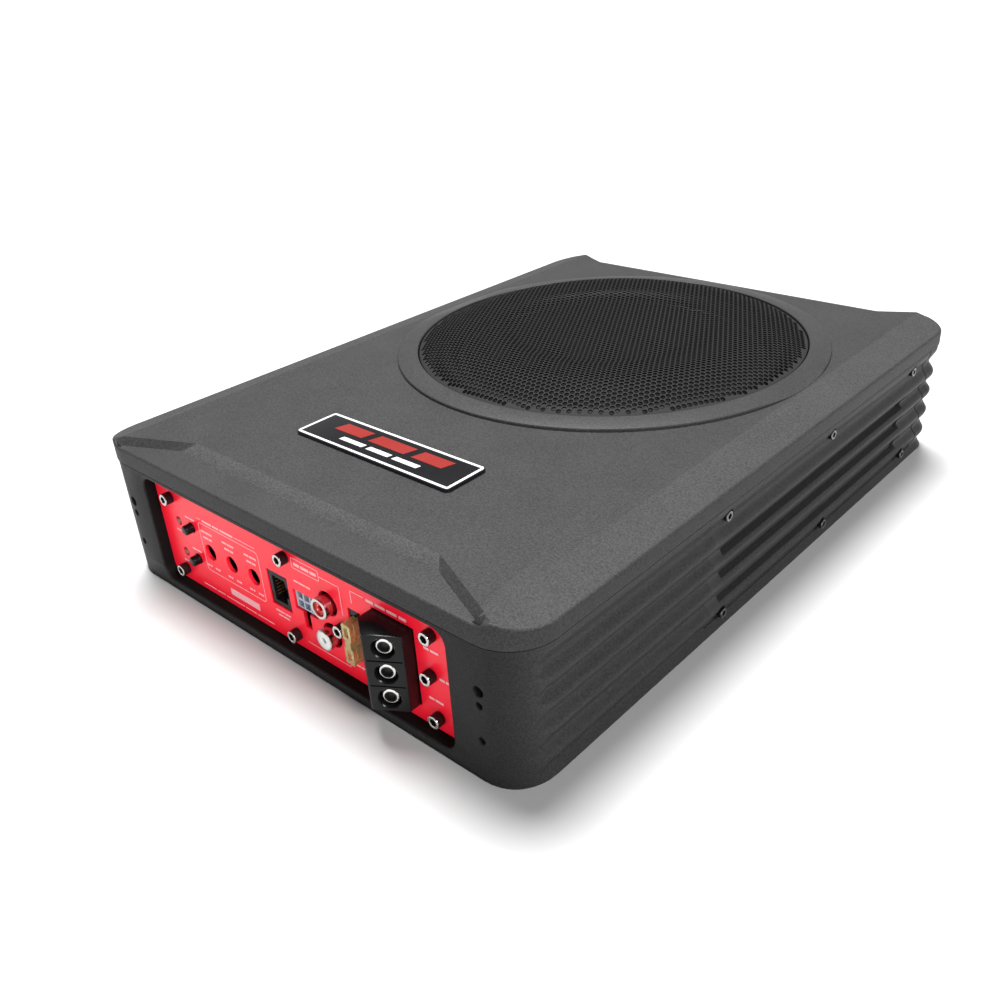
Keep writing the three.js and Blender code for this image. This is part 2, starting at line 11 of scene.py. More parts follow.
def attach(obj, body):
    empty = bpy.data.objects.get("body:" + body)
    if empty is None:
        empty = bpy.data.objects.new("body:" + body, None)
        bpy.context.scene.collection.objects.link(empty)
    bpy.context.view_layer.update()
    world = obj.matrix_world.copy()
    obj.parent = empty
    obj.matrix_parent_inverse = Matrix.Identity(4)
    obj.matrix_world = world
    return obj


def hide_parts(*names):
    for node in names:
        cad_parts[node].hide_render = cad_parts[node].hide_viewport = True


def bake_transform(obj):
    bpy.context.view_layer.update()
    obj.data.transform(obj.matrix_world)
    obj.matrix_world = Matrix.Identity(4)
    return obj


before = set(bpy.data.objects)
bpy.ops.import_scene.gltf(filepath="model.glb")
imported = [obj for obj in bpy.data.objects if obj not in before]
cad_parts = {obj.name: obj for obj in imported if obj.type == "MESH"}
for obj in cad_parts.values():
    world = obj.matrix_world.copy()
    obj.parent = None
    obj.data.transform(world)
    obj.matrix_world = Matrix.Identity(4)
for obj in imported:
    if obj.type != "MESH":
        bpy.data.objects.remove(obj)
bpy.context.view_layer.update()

MM = 0.001
SHELL = "enclosure"              # the body that everything fixed rides on

# ---- camera ----
CAMERA_PLACE = Vector((292.0, -347.0, 252.6)) * MM
CAMERA_RIGHT = Vector((0.7431, 0.6667, -0.0579))
CAMERA_DOWN = Vector((0.2880, -0.3967, -0.8716))
CAMERA_AHEAD = Vector((-0.6040, 0.6310, -0.4868))
SENSOR = 36                      # millimetres, as is the lens
LENS_LENGTH = 35.64


def new_object(name, data):
    made = bpy.data.objects.new(name, data)
    bpy.context.scene.collection.objects.link(made)
    return made


def set_camera():
    data = bpy.data.cameras.new("camera")
    data.sensor_width = SENSOR
    data.lens = LENS_LENGTH
    data.clip_start = 0.01
    camera = new_object("camera", data)
    turn = Matrix((CAMERA_RIGHT, -CAMERA_DOWN, -CAMERA_AHEAD)).transposed()
    camera.matrix_world = Matrix.Translation(CAMERA_PLACE) @ turn.to_4x4()
    bpy.context.scene.camera = camera


set_camera()

# ---- materials ----
def set_sockets(node, **values):
    for socket, value in values.items():
        node.inputs[socket.replace("_", " ")].default_value = value


def new_node(tree, kind, settings=None, **values):
    """Adds a shader node: settings are its properties, values the numbers on its sockets."""
    made = tree.nodes.new("ShaderNode" + kind)
    for name, value in (settings or {}).items():
        setattr(made, name, value)
    set_sockets(made, **values)
    return made


def new_ramp(tree, places, dark=(0, 0, 0, 1), light=(1, 1, 1, 1)):
    """Adds a ramp from a dark colour to a light one."""
    ramp = new_node(tree, "ValToRGB")
    for element, place, colour in zip(ramp.color_ramp.elements, places, (dark, light)):
        element.position = place
        element.color = colour
    return ramp


BROAD_SCALE = 45                 # soft clouds about 20 mm across, on every finish
FINE_SHARE = 0.85                # how much of the tint comes from the fine noise
WORN_EDGE = (0.53, 0.62)         # pointiness where the wear on convex edges sets in
# The end face below the lip, where the coat is darkened as painted shade
PAINTED_SHADE_FACE = (("Y", (-0.158, -0.171)), ("Z", (0.0597, 0.0588)))    # metres: from none to full


def finish(name, colour, rough, metal=0.0, *, grain, vary=0.12, rough_vary=0.1,
           specular=0.5, wear=None, end_painted_shade=None, **extra):
    """A procedural finish; grain is the scale, strength and depth of its fine bump."""
    material = bpy.data.materials.new(name)
    material.use_nodes = True
    tree = material.node_tree
    link = tree.links.new
    shader = tree.nodes["Principled BSDF"]
    set_sockets(shader, Metallic=metal, Specular_IOR_Level=specular, **extra)
    place = new_node(tree, "TexCoord")
    broad = new_node(tree, "TexNoise", Scale=BROAD_SCALE, Detail=6)
    fine = new_node(tree, "TexNoise", Scale=grain[0], Detail=3)
    for noise in (broad, fine):
        link(place.outputs["Object"], noise.inputs["Vector"])

    dark = [c * (1 - vary) for c in colour]
    light = [min(1, c * (1 + vary)) for c in colour]
    tint = new_ramp(tree, (0.3, 0.7), (*dark, 1), (*light, 1))
    blend = new_node(tree, "Mix", Factor=FINE_SHARE)
    link(broad.outputs["Fac"], blend.inputs["A"])
    link(fine.outputs["Fac"], blend.inputs["B"])
    link(blend.outputs["Result"], tint.inputs["Fac"])
    paint = tint.outputs["Color"]

    def over(share, settings, second):
        """Lays a second colour over the paint by a share."""
        layer = new_node(tree, "Mix", {"data_type": "RGBA", **settings}, B=(*second, 1))
        link(share, layer.inputs["Factor"])
        link(paint, layer.inputs["A"])
        return layer.outputs["Result"]

    if wear:
        mask = new_ramp(tree, WORN_EDGE)
        link(new_node(tree, "NewGeometry").outputs["Pointiness"], mask.inputs["Fac"])
        paint = over(mask.outputs["Color"], {}, wear)
    if end_painted_shade:
        # painted shade: the coat is darkened on the end face below the lip, for the shade it sits
        # in
        split = new_node(tree, "SeparateXYZ")
        link(place.outputs["Object"], split.inputs[0])
        both = new_node(tree, "Math", {"operation": "MULTIPLY"})
        for number, (axis, limits) in enumerate(PAINTED_SHADE_FACE):
            share = new_node(tree, "MapRange", From_Min=limits[0], From_Max=limits[1])
            link(split.outputs[axis], share.inputs["Value"])
            link(share.outputs[0], both.inputs[number])
        paint = over(both.outputs[0], {"blend_type": "MULTIPLY"}, [end_painted_shade] * 3)
    link(paint, shader.inputs["Base Color"])

    gloss = new_node(tree, "MapRange", To_Min=max(0.02, rough - rough_vary),
                     To_Max=min(1.0, rough + rough_vary))
    link(broad.outputs["Fac"], gloss.inputs["Value"])
    link(gloss.outputs[0], shader.inputs["Roughness"])
    bump = new_node(tree, "Bump", Strength=grain[1], Distance=grain[2])
    link(fine.outputs["Fac"], bump.inputs["Height"])
    link(bump.outputs[0], shader.inputs["Normal"])
    return material


# Fine bumps: (scale, strength, depth in metres)
POWDER = (1300, 1.0, 0.00016)
POWDER_SLOPE = (1300, 1.0, 0.00014)
MOULDED = (1500, 0.1, 0.00003)
POLISHED = (1400, 0.1, 0.00003)

# The housing coat; its end face below the lip is darkened by half as painted shade
COAT = finish("powder_coat", (0.0325, 0.0325, 0.033), 0.42, grain=POWDER, vary=0.35,
              rough_vary=0.03, wear=(0.045, 0.045, 0.046), end_painted_shade=0.5, specular=0.07)
# Lighter copies of the coat as painted highlight: the sloping margins and the front slope band,
# where light catches them
LIT_SLOPE_COAT = finish("powder_coat_slopes_painted_highlight", (0.043, 0.043, 0.0435), 0.6, grain=POWDER_SLOPE,
                    vary=0.35, rough_vary=0.03, specular=0.02)
LIT_BAND_COAT = finish("powder_coat_band_painted_highlight", (0.057, 0.057, 0.0575), 0.6, grain=POWDER_SLOPE,
                   vary=0.35, rough_vary=0.03, specular=0.02)
# A duller copy of the coat inside the side plates' slots: painted shade
SLOT_SHADE_COAT = finish("slot_painted_shade", (0.034, 0.034, 0.034), 0.6, grain=(1300, 1.0, 0.00012),
                   vary=0.3, specular=0.05)
# Near black painted shade, for the walls of the front recess and of the grille's holes
RECESS_SHADE = finish("recess_painted_shade", (0.006, 0.006, 0.006), 0.6, grain=(1200, 0.3, 0.00005),
                vary=0.2, specular=0.06)
MESH_COAT = finish("grille_coat", (0.024, 0.024, 0.0243), 0.6, grain=(2000, 0.3, 0.00005),
                   specular=0.03)
RED = finish("panel_red", (0.95, 0.012, 0.035), 0.3, grain=(1500, 0.05, 0.00002), vary=0.03,
             rough_vary=0.015, specular=0.3)
INK = finish("white_ink", (0.85, 0.42, 0.45), 0.45, grain=(2500, 0.2, 0.00003), vary=0.12)
NICKEL = finish("nickel", (0.52, 0.51, 0.49), 0.14, 1.0, grain=(1400, 0.12, 0.00003),
                vary=0.06, rough_vary=0.08)
CHROME = finish("dark_chrome", (0.16, 0.155, 0.15), 0.1, 1.0, grain=POLISHED, vary=0.06,
                rough_vary=0.04)
MIRROR = finish("bright_nickel", (0.62, 0.61, 0.59), 0.07, 1.0, grain=POLISHED, vary=0.05,
                rough_vary=0.03)
# Black oxide on the driver and bottom screws; also painted shade in the screws' sockets and on the
# cap screws' sides
OXIDE_AND_SOCKET_SHADE = finish("black_oxide_and_painted_shade", (0.02, 0.02, 0.021), 0.35, 0.6, grain=(1800, 0.3, 0.00004),
               vary=0.2)
STEEL = finish("zinc_steel", (0.42, 0.43, 0.44), 0.38, 1.0, grain=(700, 0.25, 0.00005),
               vary=0.15, rough_vary=0.12)
GLOSS = finish("gloss_black", (0.005, 0.005, 0.0055), 0.2, grain=(900, 0.1, 0.00004),
               vary=0.2, rough_vary=0.05, specular=0.17)
BADGE = finish("badge_black", (0.006, 0.006, 0.007), 0.16, grain=(1500, 0.06, 0.00003),
               vary=0.2, rough_vary=0.04)
BADGE_RED = finish("badge_red", (0.2, 0.014, 0.011), 0.25, grain=MOULDED, vary=0.08)
SILVER = finish("badge_silver", (0.66, 0.66, 0.66), 0.3, 0.2, grain=MOULDED, vary=0.06)
RCA_RED = finish("rca_red", (0.6, 0.01, 0.012), 0.3, grain=MOULDED, vary=0.1)
WHITE = finish("white_plastic", (0.72, 0.72, 0.7), 0.4, grain=(1500, 0.15, 0.00004), vary=0.05)
GREY = finish("grey_plastic", (0.36, 0.42, 0.5), 0.4, grain=(1500, 0.15, 0.00004), vary=0.08)
LENS = finish("led_lens", (0.35, 0.09, 0.08), 0.2, grain=MOULDED, vary=0.1,
              Transmission_Weight=0.3)
AMBER = finish("amber", (1.0, 0.76, 0.34), 0.06, 0.1, grain=(260, 0.3, 0.0003), vary=0.1,
               rough_vary=0.03, Transmission_Weight=0.7, IOR=1.4)
PAPER = finish("cone_paper", (0.009, 0.009, 0.0095), 0.75, grain=(1100, 0.8, 0.00015),
               vary=0.25, specular=0.1)
RUBBER = finish("rubber", (0.01, 0.01, 0.0105), 0.55, grain=(900, 0.3, 0.00006), vary=0.2,
                specular=0.15)
ENAMEL = finish("basket_enamel", (0.02, 0.02, 0.022), 0.4, grain=(800, 0.3, 0.00006), vary=0.2)
FERRITE = finish("ferrite", (0.045, 0.045, 0.05), 0.6, 0.2, grain=(1300, 0.7, 0.0001),
                 vary=0.25)
COPPER = finish("enamelled_copper", (0.62, 0.24, 0.09), 0.3, 0.9, grain=(1800, 0.3, 0.00005),
                vary=0.15)
CLOTH = finish("resin_cloth", (0.42, 0.22, 0.08), 0.8, grain=(2200, 0.9, 0.0002), vary=0.25)
BOARD = finish("solder_mask", (0.015, 0.1, 0.045), 0.35, grain=(600, 0.2, 0.00005), vary=0.2)

# ---- mesh helpers: everything below is in millimetres ----
WELD = 0.003                     # points closer than this become one


def aim(place, axis):
    """Takes local +Z to axis, at a place."""
    return Matrix.Translation(place) @ Vector(axis).to_track_quat("Z", "Y").to_matrix().to_4x4()


def facing_front(x, y, z):
    """Takes local +Z to the panel's outward direction."""
    return aim((x, y, z), (0, -1, 0))


def at_y(loop, y):
    """A flat loop of (x, z) points, stood up at y."""
    return [(u, y, v) for u, v in loop]


def at_z(loop, z):
    """A flat loop of (x, y) points, laid at height z."""
    return [(u, v, z) for u, v in loop]


class Shape:
    """Points and faces, each face with the number of its material."""

    def __init__(self):
        self.points = []
        self.faces = []
        self.paint = []
        self.flat = []           # the faces that keep flat shading

    def grid(self, rows, close=False, paint=0):
        start = len(self.points)
        width = len(rows[0])
        for row in rows:
            self.points.extend(Vector(p) for p in row)
        for i in range(len(rows) - 1):
            for j in range(width if close else width - 1):
                k = (j + 1) % width
                low = start + i * width
                self.faces.append((low + j, low + k, low + width + k, low + width + j))
                self.paint.append(paint)
        return self

    def fan(self, ring, paint=0):
        start = len(self.points)
        self.points.extend(Vector(p) for p in ring)
        self.faces.append(tuple(range(start, start + len(ring))))
        self.paint.append(paint)
        return self

    def sheet(self, loops, lift, keep=None, lines=()):
        """Flat-shaded triangles, lifted into place, between an outline, its holes and lines."""
        keep = keep or between(*loops)
        plan = []
        edges = []
        for path, closed in [(loop, 1) for loop in loops] + [(line, 0) for line in lines]:
            start = len(plan)
            plan.extend(Vector(p) for p in path)
            edges.extend((start + i, start + (i + 1) % len(path))
                         for i in range(len(path) - 1 + closed))
        found, _, faces, _, _, _ = delaunay_2d_cdt(plan, edges, [], 0, 1e-5)
        start = len(self.points)
        self.points.extend(Vector(lift(p.x, p.y)) for p in found)
        for face in faces:
            u = sum(found[i].x for i in face) / len(face)
            v = sum(found[i].y for i in face) / len(face)
            if keep(u, v):
                self.flat.append(len(self.faces))
                self.faces.append(tuple(start + i for i in face))
                self.paint.append(0)
        return self

    def add(self, other, matrix=None, paint=0):
        start = len(self.points)
        self.points.extend(matrix @ p if matrix else p for p in other.points)
        self.faces.extend(tuple(start + i for i in face) for face in other.faces)
        self.paint.extend(p + paint for p in other.paint)
        return self

    def mesh(self, name):
        mesh = bpy.data.meshes.new(name)
        mesh.from_pydata([p * MM for p in self.points], [], self.faces)
        mesh.polygons.foreach_set("material_index", self.paint)
        smooth = np.ones(len(self.faces), dtype=bool)
        smooth[self.flat] = False
        mesh.polygons.foreach_set("use_smooth", smooth)
        work = bmesh.new()
        work.from_mesh(mesh)
        bmesh.ops.remove_doubles(work, verts=work.verts, dist=WELD * MM)
        loose = [v for v in work.verts if not v.link_faces]
        bmesh.ops.delete(work, geom=loose, context="VERTS")
        bmesh.ops.recalc_face_normals(work, faces=work.faces)
        if work.calc_volume(signed=True) < 0:
            bmesh.ops.reverse_faces(work, faces=work.faces)
        work.to_mesh(mesh)
        work.free()
        return mesh


def add_bevel(piece, width):
    edge = piece.modifiers.new("edge", "BEVEL")
    edge.width = width * MM
    edge.segments = 2
    edge.limit_method = "ANGLE"
    edge.angle_limit = math.radians(40)


def add_cut(piece, cutter):
    tool = new_object("cutter", cutter.mesh("cutter"))
    cut = piece.modifiers.new("cut", "BOOLEAN")
    cut.operation = "DIFFERENCE"
    cut.solver = "EXACT"
    cut.object = tool
    return tool


def hang(piece, replaces, body):
    """Tells the frame the body a piece rides on and the CAD nodes it replaces."""
    if body:
        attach(piece, body)
    if replaces:
        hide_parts(*replaces)
    return piece


def show(name, shape, materials, slot, replaces=(), body=SHELL, sharp=35, cutters=(), bevel=0,
         bevel_first=False):
    """Makes a piece from a shape, cuts and bevels it if asked, and hangs it on its body."""
    piece = new_object(name, shape.mesh(name))
    if bevel and bevel_first:
        add_bevel(piece, bevel)
    tools = [add_cut(piece, cutter) for cutter in cutters]
    if bevel and not bevel_first:
        add_bevel(piece, bevel)
    if piece.modifiers:
        bpy.context.view_layer.update()
        graph = bpy.context.evaluated_depsgraph_get()
        made = bpy.data.meshes.new_from_object(piece.evaluated_get(graph))
        piece.modifiers.clear()
        piece.data = made
        piece.data.name = name
    for tool in tools:
        bpy.data.objects.remove(tool)
    for material in materials:
        piece.data.materials.append(material)
    piece.data.set_sharp_from_angle(angle=math.radians(sharp))
    return hang(piece, replaces, body)


def polar(r, angle, centre=(0, 0)):
    return centre[0] + r * math.cos(angle), centre[1] + r * math.sin(angle)


def circle(r, count, centre=(0, 0)):
    return [polar(r, 2 * math.pi * i / count, centre) for i in range(count)]


def rectangle(x0, x1, y0, y1, grow=0):
    return [(x0 - grow, y0 - grow), (x1 + grow, y0 - grow), (x1 + grow, y1 + grow),
            (x0 - grow, y1 + grow)]


def rounded(x0, x1, y0, y1, r, corner=6):
    points = []
    for cx, cy, start in ((x1 - r, y1 - r, 0), (x0 + r, y1 - r, 90), (x0 + r, y0 + r, 180),
                          (x1 - r, y0 + r, 270)):
        points += [polar(r, math.radians(start + 90 * i / corner), (cx, cy))
                   for i in range(corner + 1)]
    return points


def lathe(profile, count=48, matrix=None, ends=True):
    """Turns (radius, height) points about local Z; points on the axis close the ends."""
    shape = Shape()
    rows = [at_z(circle(r, count), h) for r, h in profile if r > 0]
    if ends and profile[0][0] > 0 and profile[-1][0] > 0:
        rows.append(rows[0])
    shape.grid(rows, close=True)
    if profile[0][0] == 0:
        shape.fan(rows[0][::-1])
    if profile[-1][0] == 0:
        shape.fan(rows[-1])
    return Shape().add(shape, matrix) if matrix else shape


def rod(r, low, high, count, place):
    """A cylinder along local Z."""
    return lathe([(0, low), (r, low), (r, high), (0, high)], count, place)


def box(x, y, z, ease=0.0):
    """A block; ease rounds its four edges along Y."""
    loop = rounded(*x, *z, ease, 4) if ease else rectangle(*x, *z)
    front, back = at_y(loop, y[0]), at_y(loop, y[1])
    return Shape().grid([front, back], close=True).fan(front).fan(back[::-1])


def prism(loop, z0, z1):
    low, high = at_z(loop, z0), at_z(loop, z1)
    return Shape().grid([low, high], close=True).fan(low[::-1]).fan(high)


def inside(loop, u, v):
    hit = False
    for (x0, y0), (x1, y1) in zip(loop, loop[1:] + loop[:1]):
        if (y0 > v) != (y1 > v) and u < (x1 - x0) * (v - y0) / (y1 - y0) + x0:
            hit = not hit
    return hit


def between(outline, *holes):
    """A test for points inside an outline and outside its holes."""
    return lambda u, v: inside(outline, u, v) and not any(inside(hole, u, v) for hole in holes)


def steepness(points):
    """The upward part of a face's unit normal."""
    across = (points[1] - points[0]).cross(points[2] - points[0])
    return abs(across.z) / max(across.length, 1e-9)


def ease(t):
    t = min(1.0, max(0.0, t))
    return t * t * (3 - 2 * t)


def mix(a, b, t):
    return a + (b - a) * t

# ---- housing dimensions ----
FRONT = -172.5
REAR = 172.5
LIP = 128.0
CORNER = {-1: 20.0, 1: 14.0}     # plan corner radii at the front and the rear
PATCH = {-1: 112.0, 1: 116.0}    # how far across the front and rear patches reach
END_STATIONS = (0, 20, 40, 60, 80, 95, 99, 104, 106, 108)
TOP = 71.0
SHELF = 67.7                     # the front and rear shelves, at the rim
SHELF_FOOT = 68.0                # and at the foot of the slope above them
MARGIN = 110.6                   # outside this the top falls towards the sides
SLANT = 0.256                    # how steeply it does
DRIVER = Vector((0, 48, 0))
RING_R = 110.0
RING_RISE = (2.8, 1.6)           # the raised ring's inner and outer heights above the top
WELL_R = 99.4
SEAT_Z = 62.3
BORE_R = 91.0
PANEL_Y = -166.7
LEDGE_Y = -164.8
GROOVE_Z = (59.1, 59.25, 59.75, 59.9)    # fine groove under the lip: edge, floor, floor, edge
GROOVE_IN = 0.6
LIP_STEP = 0.45                  # the lip stands this far out of the faces below it
NEAR = 0.01                      # the slack when two places are compared
PLATE_Y = (-55.0, 152.0)
PLATE_Z = (3.0, 58.8)
POCKET = 6.4
FLUTES = [(57.6, 43.9), (43.9, 33.3), (33.3, 21.9), (21.9, 10.2), (10.2, -0.6)]
FLUTE_DEPTH = 3.0
VALLEY = 0.58                    # where a flute is deepest, from its upper crest down
FLUTE_STEPS = 16
FLUTE_FADE = {-1: (56, 80), 0: (-1, 0), 1: (14, 44)}     # corner angles where flutes set in
LEAN_FADE = (25, 85)             # and where the sides' draft does
DRAFT = 1.5                      # how far the sides lean in at the floor
BRACKET = [(40.0, 2.2), (34.0, 1.5), (18.6, 1.5)]
BRACKET_X = 108.5

RING_COUNT = 120
MOUTH = (-94.5, 94.5, 4.5, 57.3)         # the recess in the front face: x0, x1, z0, z1
MOUTH_R = 6.0
MOUTH_EASE = 0.6                 # the rounding of its edge
WINDOW = (-88, 76, 7, 54)        # the opening behind the panel
WINDOW_R = 3
HOLE_EASE = 0.25                 # the countersink of the bracket holes
HOLE_DEEP = 8
CAVITY = ((-117.5, 117.5), (-158, 168), (0, 64.5))
BOSS_R = 102.5                   # the driver's boss inside the cavity

# Lines across the top where it starts and stops falling to a shelf: how far out the bend is
# along X and Y, and how far across the line meets the rim. The front is -1 and the rear 1.
CREST = {-1: (75.0, 152.3, 115.0), 1: (90.0, 161.0, 110.0)}
FOOT = {-1: (79.8, 157.6, 110.9), 1: (83.0, 166.5, 101.0)}
FOOT_PARTS = 12                  # pieces of each sloping end of such a line
WALL_REACH = 14                  # the walls' shading is smooth this far before the crest
WALL_STEEP = (0.5, 0.985)        # and where a face is this steep
SEAM = 0.04                      # the width of a step's near-vertical faces
# After the coat: the recess walls painted near black as shade, then the margins and the slope band
# painted lighter as highlight
PAINT_RECESS_SHADE, PAINT_LIT_SLOPE, PAINT_LIT_BAND = 1, 2, 3      # the housing's materials after its coat


def flute(z):
    """How deep the side is cut at height z: a wave, its valleys just under the crests above."""
    for top, low in FLUTES:
        if low < z < top:
            u = (top - z) / (top - low)
            if u < VALLEY:
                return FLUTE_DEPTH * ease(u / VALLEY)
            return FLUTE_DEPTH * (1 - ease((u - VALLEY) / (1 - VALLEY)))
    return 0.0


def flute_heights():
    """The heights that follow the wave."""
    heights = [top - k / FLUTE_STEPS * (top - low) for top, low in FLUTES
               for k in range(FLUTE_STEPS)]
    return [z for z in heights if z > 0.5]


def side_base(z):
    """The side's draft: it leans in towards the floor."""
    return -DRAFT * (1 - min(z, PLATE_Z[1]) / PLATE_Z[1])


def behind_lip(z):
    """How far the faces lie behind the lip at height z."""
    if z > GROOVE_Z[2] + NEAR:
        return 0.0
    return LIP_STEP + (GROOVE_IN if z > GROOVE_Z[0] + NEAR else 0.0)


WALL_Z = sorted({0.0, 0.5, 58.2, *GROOVE_Z, 62.5, *PLATE_Z, *flute_heights(),
                 PLATE_Z[0] + SEAM, PLATE_Z[1] - SEAM})
LINE_GAP = 0.05                  # lines across the top stop this far inside the rim
# The rounding of the top edge: how far in from the face, and how far below the rim.
EDGE = [(0.0, -1.2), (-0.06, -0.82), (-0.2, -0.5), (-0.43, -0.25), (-0.75, -0.07), (-1.2, 0.0)]


def margin_plane(x):
    return TOP - (abs(x) - MARGIN) * SLANT


def rim_height(end, x):
    """The height of the rim: the shelf's, or that of the sloping margins outside it."""
    foot, crest = FOOT[end][2], CREST[end][2]
    share = min(1, max(0, (abs(x) - foot) / (crest - foot)))
    return mix(SHELF, min(TOP, margin_plane(x)), share)


def corner_angles(end):
    first = math.degrees(math.asin((PATCH[end] - LIP + CORNER[end]) / CORNER[end]))
    return [first] + [a for a in range(12, 91, 3) if a > first + 1]


def flank_stations():
    """Plan points of the +X flank from the front patch to the rear one: x, y, angle, end."""
    def corner(end):
        r = CORNER[end]
        for a in corner_angles(end):
            turn = math.radians(a)
            yield LIP - r + r * math.sin(turn), end * (REAR - r + r * math.cos(turn)), a, end

    straight = sorted({PLATE_Y[0], PLATE_Y[0] + SEAM, PLATE_Y[1] - SEAM, PLATE_Y[1],
                       *[FRONT + CORNER[-1] + 10 * i for i in range(1, 31)]})
    middle = [(LIP, y, 90, 0) for y in straight if y < REAR - CORNER[1] - 1]
    return [*corner(-1), *middle, *list(corner(1))[::-1]]


def fade(angle, limits):
    """0 before the first corner angle, 1 after the second."""
    return ease((angle - limits[0]) / (limits[1] - limits[0]))


def flank_rows(side):
    """Upright rows of points along a side wall and over the rounding of its top edge."""
    rows = []
    stations = flank_stations()
    for x, y, angle, end in stations:
        seam = (x, y, angle, end) in (stations[0], stations[-1])
        turn = 0 if seam else math.radians(angle)
        across = math.sin(turn)
        along = end * math.cos(turn)
        lean = fade(angle, LEAN_FADE)
        share = fade(angle, FLUTE_FADE[end])
        row = []
        for z in WALL_Z:
            depth = max(0.0, flute(z) - FLUTE_DEPTH * (1 - share))
            out = side_base(z) * lean - depth - behind_lip(z)
            if end == 0 and PLATE_Y[0] < y < PLATE_Y[1] and PLATE_Z[0] < z < PLATE_Z[1]:
                out = -POCKET
            row.append((x + out * across, y + out * along, z))
        rim = rim_height(1 if y > 0 else -1, x + EDGE[-1][0] * across)
        for out, up in EDGE:
            row.append((x + out * across, y + out * along, rim + up))
        rows.append([(side * px, py, pz) for px, py, pz in row])
    return rows


def arc_dip(end, x):
    """How far the plan corner has curved back at x."""
    r = CORNER[end]
    over = max(0.0, abs(x) - (LIP - r))
    return r - math.sqrt(r * r - over * over)


def face_y(end, x, z):
    """The front or rear face; below the lip it is set back a little."""
    return end * (REAR - arc_dip(end, x) - behind_lip(z))


def patch_x(end):
    """The stations across an end face, closer together where the rim bends."""
    half = {*END_STATIONS, FOOT[end][2], PATCH[end]}
    return sorted({s * x for s in (-1, 1) for x in half})


def sill_rows(end):
    """The rounded top edge of an end face."""
    rows = []
    for x in patch_x(end):
        rim = rim_height(end, x)
        rows.append([(x, end * (REAR - arc_dip(end, x) + out), rim + up) for out, up in EDGE])
    return rows


def end_patch(body, end):
    """One end face with its bracket holes, and the rounded edge along its top."""
    sill = sill_rows(end)
    body.grid(sill)
    reach = PATCH[end]
    outline = [(-reach, z) for z in reversed(WALL_Z)] + [(reach, z) for z in WALL_Z]
    outline += [(row[0][0], row[0][2]) for row in sill][::-1]
    spots = [((side * BRACKET_X, z), r) for side in (-1, 1) for z, r in BRACKET]
    holes = [circle(r + HOLE_EASE, 24, centre) for centre, r in spots]
    lines = [[(x, z) for x in range(-108, 109, 6)] for z in GROOVE_Z]
    if end < 0:
        holes.append(mouth_loop(MOUTH_EASE))
    body.sheet([outline, *holes], lambda u, v: (u, face_y(end, u, v), v), lines=lines)
    for centre, r in spots:
        rows = []
        for radius, deep in ((r + HOLE_EASE, 0), (r, 0.3), (r, HOLE_DEEP)):
            ring = circle(radius, 24, centre)
            rows.append([(u, face_y(end, u, v) - end * deep, v) for u, v in ring])
        body.grid(rows, close=True)
        body.fan(rows[-1])


def mouth_loop(grow):
    """The outline of the front recess, grown all round."""
    x0, x1, z0, z1 = MOUTH
    return rounded(x0 - grow, x1 + grow, z0 - grow, z1 + grow, MOUTH_R + grow, 8)


def shelf_line(spec, end):
    """A crest or foot line from rim to rim."""
    x, out, reach = spec[end]
    rim = end * (REAR - arc_dip(end, reach) + EDGE[-1][0] - LINE_GAP)
    return [(-reach, rim), (-x, end * out), (x, end * out), (reach, rim)]


def line_y(line, x):
    """Where a line across the top passes at x, if it does."""
    for (x0, y0), (x1, y1) in zip(line, line[1:]):
        if x0 <= x <= x1:
            return mix(y0, y1, (x - x0) / (x1 - x0))
    return None


def divided(line):
    """A crest or foot line with its sloping ends cut into equal parts."""
    points = []
    for (x0, y0), (x1, y1) in zip(line, line[1:]):
        count = 1 if y0 == y1 else FOOT_PARTS
        points.extend((mix(x0, x1, k / count), mix(y0, y1, k / count)) for k in range(count))
    return [*points, line[-1]]


def top_sheet(body):
    """The flat top with its sloping margins and its front and rear shelves."""
    right = [row[-1] for row in flank_rows(1)]
    left = [row[-1] for row in flank_rows(-1)][::-1]
    front = [row[-1] for row in sill_rows(-1)]
    rear = [row[-1] for row in sill_rows(1)][::-1]
    rim = front[:-1] + right + rear[1:-1] + left
    outline = [(x, y) for x, y, _ in rim[:-1]]
    ring = circle(RING_R, RING_COUNT, (0, DRIVER.y))
    foots = {end: shelf_line(FOOT, end) for end in (-1, 1)}
    crests = {end: shelf_line(CREST, end) for end in (-1, 1)}

    def height(x, y):
        near = min(rim, key=lambda p: math.hypot(p[0] - x, p[1] - y))
        if math.hypot(near[0] - x, near[1] - y) < 2 * NEAR:
            return near[2]
        for end, line in foots.items():
            foot = line_y(line, x)
            if foot is not None and end * (y - foot) > -NEAR:
                start = abs(line[1][1])
                return mix(SHELF_FOOT, SHELF, (abs(y) - start) / (abs(line[0][1]) - start))
        return min(TOP, margin_plane(x))

    def keep(u, v):
        clear = math.hypot(u, v - DRIVER.y) > RING_R * math.cos(math.pi / RING_COUNT)
        return clear and inside(outline, u, v)

    creases = [[(x, line_y(crests[-1], x)), (x, REAR + EDGE[-1][0] - LINE_GAP)]
               for x in (-MARGIN, MARGIN)]
    lines = [*map(divided, crests.values()), *map(divided, foots.values()), *creases]
    first = len(body.faces)
    body.sheet([outline, ring], lambda u, v: (u, v, height(u, v)), keep, lines)
    for number in range(first, len(body.faces)):
        points = [body.points[i] for i in body.faces[number]]
        x = abs(sum(p.x for p in points) / len(points))
        y = sum(p.y for p in points) / len(points)
        end = -1 if y < 0 else 1
        bend_x, bend_y, _ = CREST[end]
        in_slope = x < bend_x - 1 and bend_y < abs(y) < FOOT[end][1]
        on_wall = x > bend_x - 0.5 and abs(y) > bend_y - WALL_REACH
        if on_wall and WALL_STEEP[0] < steepness(points) < WALL_STEEP[1]:
            body.flat.remove(number)
        # painted highlight: the front slope band and the sloping margins take the lighter coats
        if in_slope:
            body.paint[number] = PAINT_LIT_BAND
        elif x > MARGIN:
            body.paint[number] = PAINT_LIT_SLOPE


